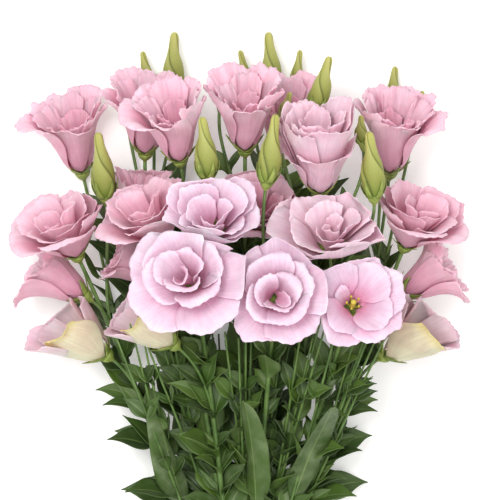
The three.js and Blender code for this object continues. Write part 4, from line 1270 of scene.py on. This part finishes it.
class BOUQUET_OT_stems(bpy.types.Operator):
    """Makes the stems, the stalks and the green cups"""

    bl_idname = "bouquet.stems"
    bl_label = "Stems"

    def execute(self, context):
        skin = green_material("waxy_stem", "#48652D", context.scene.bouquet_colours.stem, 16, 0.45, 0.1)
        cup_skin = green_material("green_cup", "#6F8637", "#A5B25C", 6, 0.55, 0.05)
        for name, (across, row, *_) in STEMS.items():
            foot = stem_foot(name)
            tail = foot.copy()
            tail[1] = -TAIL - TAIL_SPREAD * chance(across * 3 + row * 7)
            line = [tail, (tail + foot) / 2, *bezier(stem_curve(name), np.linspace(0, 1, 30))]
            radii = [STEM_RADIUS, STEM_RADIUS, *np.linspace(STEM_RADIUS, STEM_TIP_RADIUS, 30)]
            patches = [(12, 60, tube_form(line, radii, RIDGES, 0.04))]
            own = [organ for organ in FRAMES if STEM_OF[organ] == name]
            for organ in own:
                if BRANCH[organ]:
                    stalk = bezier(stalk_curve(organ), np.linspace(0, 1, 16))
                    patches.append((10, 22, tube_form(stalk, [STALK_RADIUS] * 16, RIDGES, 0.05)))
            for stem, line in SHOOTS:
                if stem == name:
                    points = bezier(line, np.linspace(0, 1, 12))
                    patches.append((8, 16, tube_form(points, np.linspace(*SHOOT_RADII, 12))))
            piece = bent_sheets(f"green_stem_{name}", patches, weld=0.02)
            dress(piece, "leaf_green", [skin], f"stem_{name}")
            patches = [patch for organ in own for patch in cup_patches(organ)]
            cups = bent_sheets(f"cups_{name}", patches, weld=0.01, closed=False)
            thicken(cups, CUP_WALL)
            dress(cups, "leaf_green", [cup_skin])
        return {"FINISHED"}


class BOUQUET_OT_leaves(bpy.types.Operator):
    """Makes the leaves of each stem"""

    bl_idname = "bouquet.leaves"
    bl_label = "Leaves"

    def execute(self, context):
        skin = leaf_material(context.scene.bouquet_colours.leaf)
        for name in STEMS:
            leaves = [(12, 24, leaf) for leaf in LEAVES if leaf["stem"] == name]
            leaves += [(6, 12, leaf) for leaf in filling_leaves(name) if has_room(leaf)]
            for order, (stem, line) in enumerate(SHOOTS):
                if stem == name:
                    leaves += [(6, 12, leaf) for leaf in shoot_leaves(stem, line, order)]
            patches = [(columns, rows, leaf_form(leaf)) for columns, rows, leaf in leaves]
            piece = bent_sheets(f"leaves_{name}", patches)
            thicken(piece, context.scene.bouquet_sizes.leaf_thickness / MM)
            dress(piece, "leaf_green", [skin])
        return {"FINISHED"}


BAND_STEMS = ((1.5, 0), (1, 1), (-1, 1), (-1.5, 0), (-1, -1), (1, -1))  # the outer ones, round the bundle
WINDINGS = (-2.6, 0, 2.6)  # how far along the stems each of them lies
WINDING_WIDE, WINDING_THICK = 2.5, 1.44
WINDING_SLANT = 0.35


def band_path(radius):
    """A flat loop round the six outer stems of the bundle."""
    points = []
    for k, (across, row) in enumerate(BAND_STEMS):
        for angle in np.radians(np.linspace(60 * k - 30, 60 * k + 30, 7)):
            x = across * STEM_PITCH + radius * math.cos(angle)
            z = BUNDLE_Z + row * ROW_HEIGHT + radius * math.sin(angle)
            points.append((x, 0, z))
    return np.array(points + points[:1])


def winding_form(shift):
    """The formula of one winding of the band, slightly aslant."""
    length, _, run = path_of(band_path(STEM_RADIUS + GAP + BAND_WALL / 2))

    def form(across, along):
        middle = run(along)
        out = middle - np.array([0, 0, BUNDLE_Z])
        out /= np.linalg.norm(out, axis=1)[:, None]
        angle = across * math.pi
        slant = WINDING_SLANT * np.sin(2 * math.pi * along + shift)
        beside = WINDING_WIDE / 2 * np.cos(angle) + slant + shift
        outwards = out * (WINDING_THICK / 2 * np.sin(angle))[:, None]
        points = middle + outwards + np.multiply.outer(beside, ALONG)
        return points, np.stack([across, along, along * length], 1), 0

    return form


class BOUQUET_OT_band(bpy.types.Operator):
    """Makes the rubber band"""

    bl_idname = "bouquet.band"
    bl_label = "Rubber band"

    def execute(self, context):
        patches = [(16, 90, winding_form(shift)) for shift in WINDINGS]
        piece = bent_sheets("rubber_windings", patches, weld=0.01)
        # natural latex: cut from a plain tube, so it has a dull gloss and an uneven amber colour
        amber = (0.3, "#B58F5E"), (0.7, "#CDAA76")
        material = speckled_material("latex_band", 2.5, amber, Roughness=0.55, IOR=1.52)
        dress(piece, "rubber", [material], "rubber_band")
        return {"FINISHED"}


SURFACE_HALF = 6
VIEW_WIDTH = 0.425  # metres in view: 500 px at 0.85 mm
VIEW_CENTRE = (0.00425, 0.3475)
CAMERA_AWAY = 4.0  # far enough for the nearly parallel lines of sight of a product photograph
TOP = 0.09  # height that the camera's distance counts from
FILM_WIDTH = 36
AIM = (0, 0.35, 0.1)
LIGHTS = (  # name, place, power and size
    ("key", (-0.6, 0.8, 2.2), 27, 0.8),
    ("fill", (0.35, -0.2, 2.3), 17, 1.4),
)


class BOUQUET_OT_stage(bpy.types.Operator):
    """Makes the surface, the lights and the camera"""

    bl_idname = "bouquet.stage"
    bl_label = "Stage"

    def execute(self, context):
        scene = context.scene
        shape = bmesh.new()
        bmesh.ops.create_grid(shape, x_segments=1, y_segments=1, size=SURFACE_HALF)
        mesh = bpy.data.meshes.new("surface")
        shape.to_mesh(mesh)
        shape.free()
        surface = bpy.data.objects.new("surface", mesh)
        # matt painted board: it scatters all light, and glows a little so that its far parts stay white
        board = {"Base_Color": linear("#F8F7F5"), "Roughness": 0.9}
        material, _, _ = new_material(
            "matt_white_board", Emission_Color=linear("#FFFFFF"), Emission_Strength=0.2, **board
        )
        mesh.materials.append(material)

        scene.world = bpy.data.worlds.new("studio")
        scene.world.use_nodes = True
        sky = scene.world.node_tree
        feed(sky, sky.nodes["Background"], Color=linear("#FFFFFF"), Strength=0.8)
        lamps = []
        for label, at, power, size in LIGHTS:
            light = bpy.data.lights.new(label, "AREA")
            light.energy = power
            light.size = size
            lamp = bpy.data.objects.new(label, light)
            lamp.location = at
            lamp.rotation_euler = (Vector(AIM) - Vector(at)).to_track_quat("-Z", "Y").to_euler()
            lamps.append(lamp)

        camera = bpy.data.objects.new("camera", bpy.data.cameras.new("camera"))
        camera.data.sensor_width = FILM_WIDTH
        camera.data.lens = FILM_WIDTH * CAMERA_AWAY / VIEW_WIDTH
        camera.data.clip_end = 50
        camera.location = (*VIEW_CENTRE, CAMERA_AWAY + TOP)
        for thing in (surface, *lamps, camera):
            scene.collection.objects.link(thing)
        scene.camera = camera
        scene.view_settings.view_transform = "Standard"
        return {"FINISHED"}


class BOUQUET_PT_panel(bpy.types.Panel):
    bl_label = "Lisianthus bouquet"
    bl_idname = "BOUQUET_PT_panel"
    bl_space_type = "VIEW_3D"
    bl_region_type = "UI"
    bl_category = "Bouquet"

    def draw(self, context):
        for label in ("petal_thickness", "leaf_thickness", "petal_columns", "petal_rows"):
            self.layout.prop(context.scene.bouquet_sizes, label)
        for label in ("pink", "lilac", "beige", "cream", "bud", "leaf", "stem"):
            self.layout.prop(context.scene.bouquet_colours, label)
        for operator in OPERATORS:
            self.layout.operator(operator.bl_idname)


OPERATORS = (
    BOUQUET_OT_stage,
    BOUQUET_OT_flowers,
    BOUQUET_OT_pistil,
    BOUQUET_OT_buds,
    BOUQUET_OT_stems,
    BOUQUET_OT_leaves,
    BOUQUET_OT_band,
)
CLASSES = (BouquetSizes, BouquetColours, *OPERATORS, BOUQUET_PT_panel)


def register():
    for cls in CLASSES:
        bpy.utils.register_class(cls)
    bpy.types.Scene.bouquet_sizes = bpy.props.PointerProperty(type=BouquetSizes)
    bpy.types.Scene.bouquet_colours = bpy.props.PointerProperty(type=BouquetColours)


def unregister():
    del bpy.types.Scene.bouquet_sizes
    del bpy.types.Scene.bouquet_colours
    for cls in reversed(CLASSES):
        bpy.utils.unregister_class(cls)


def main():
    register()
    bpy.ops.bouquet.stage()
    bpy.ops.bouquet.flowers()
    bpy.ops.bouquet.pistil()
    bpy.ops.bouquet.buds()
    bpy.ops.bouquet.stems()
    bpy.ops.bouquet.leaves()
    bpy.ops.bouquet.band()


if __name__ == "__main__":
    main()
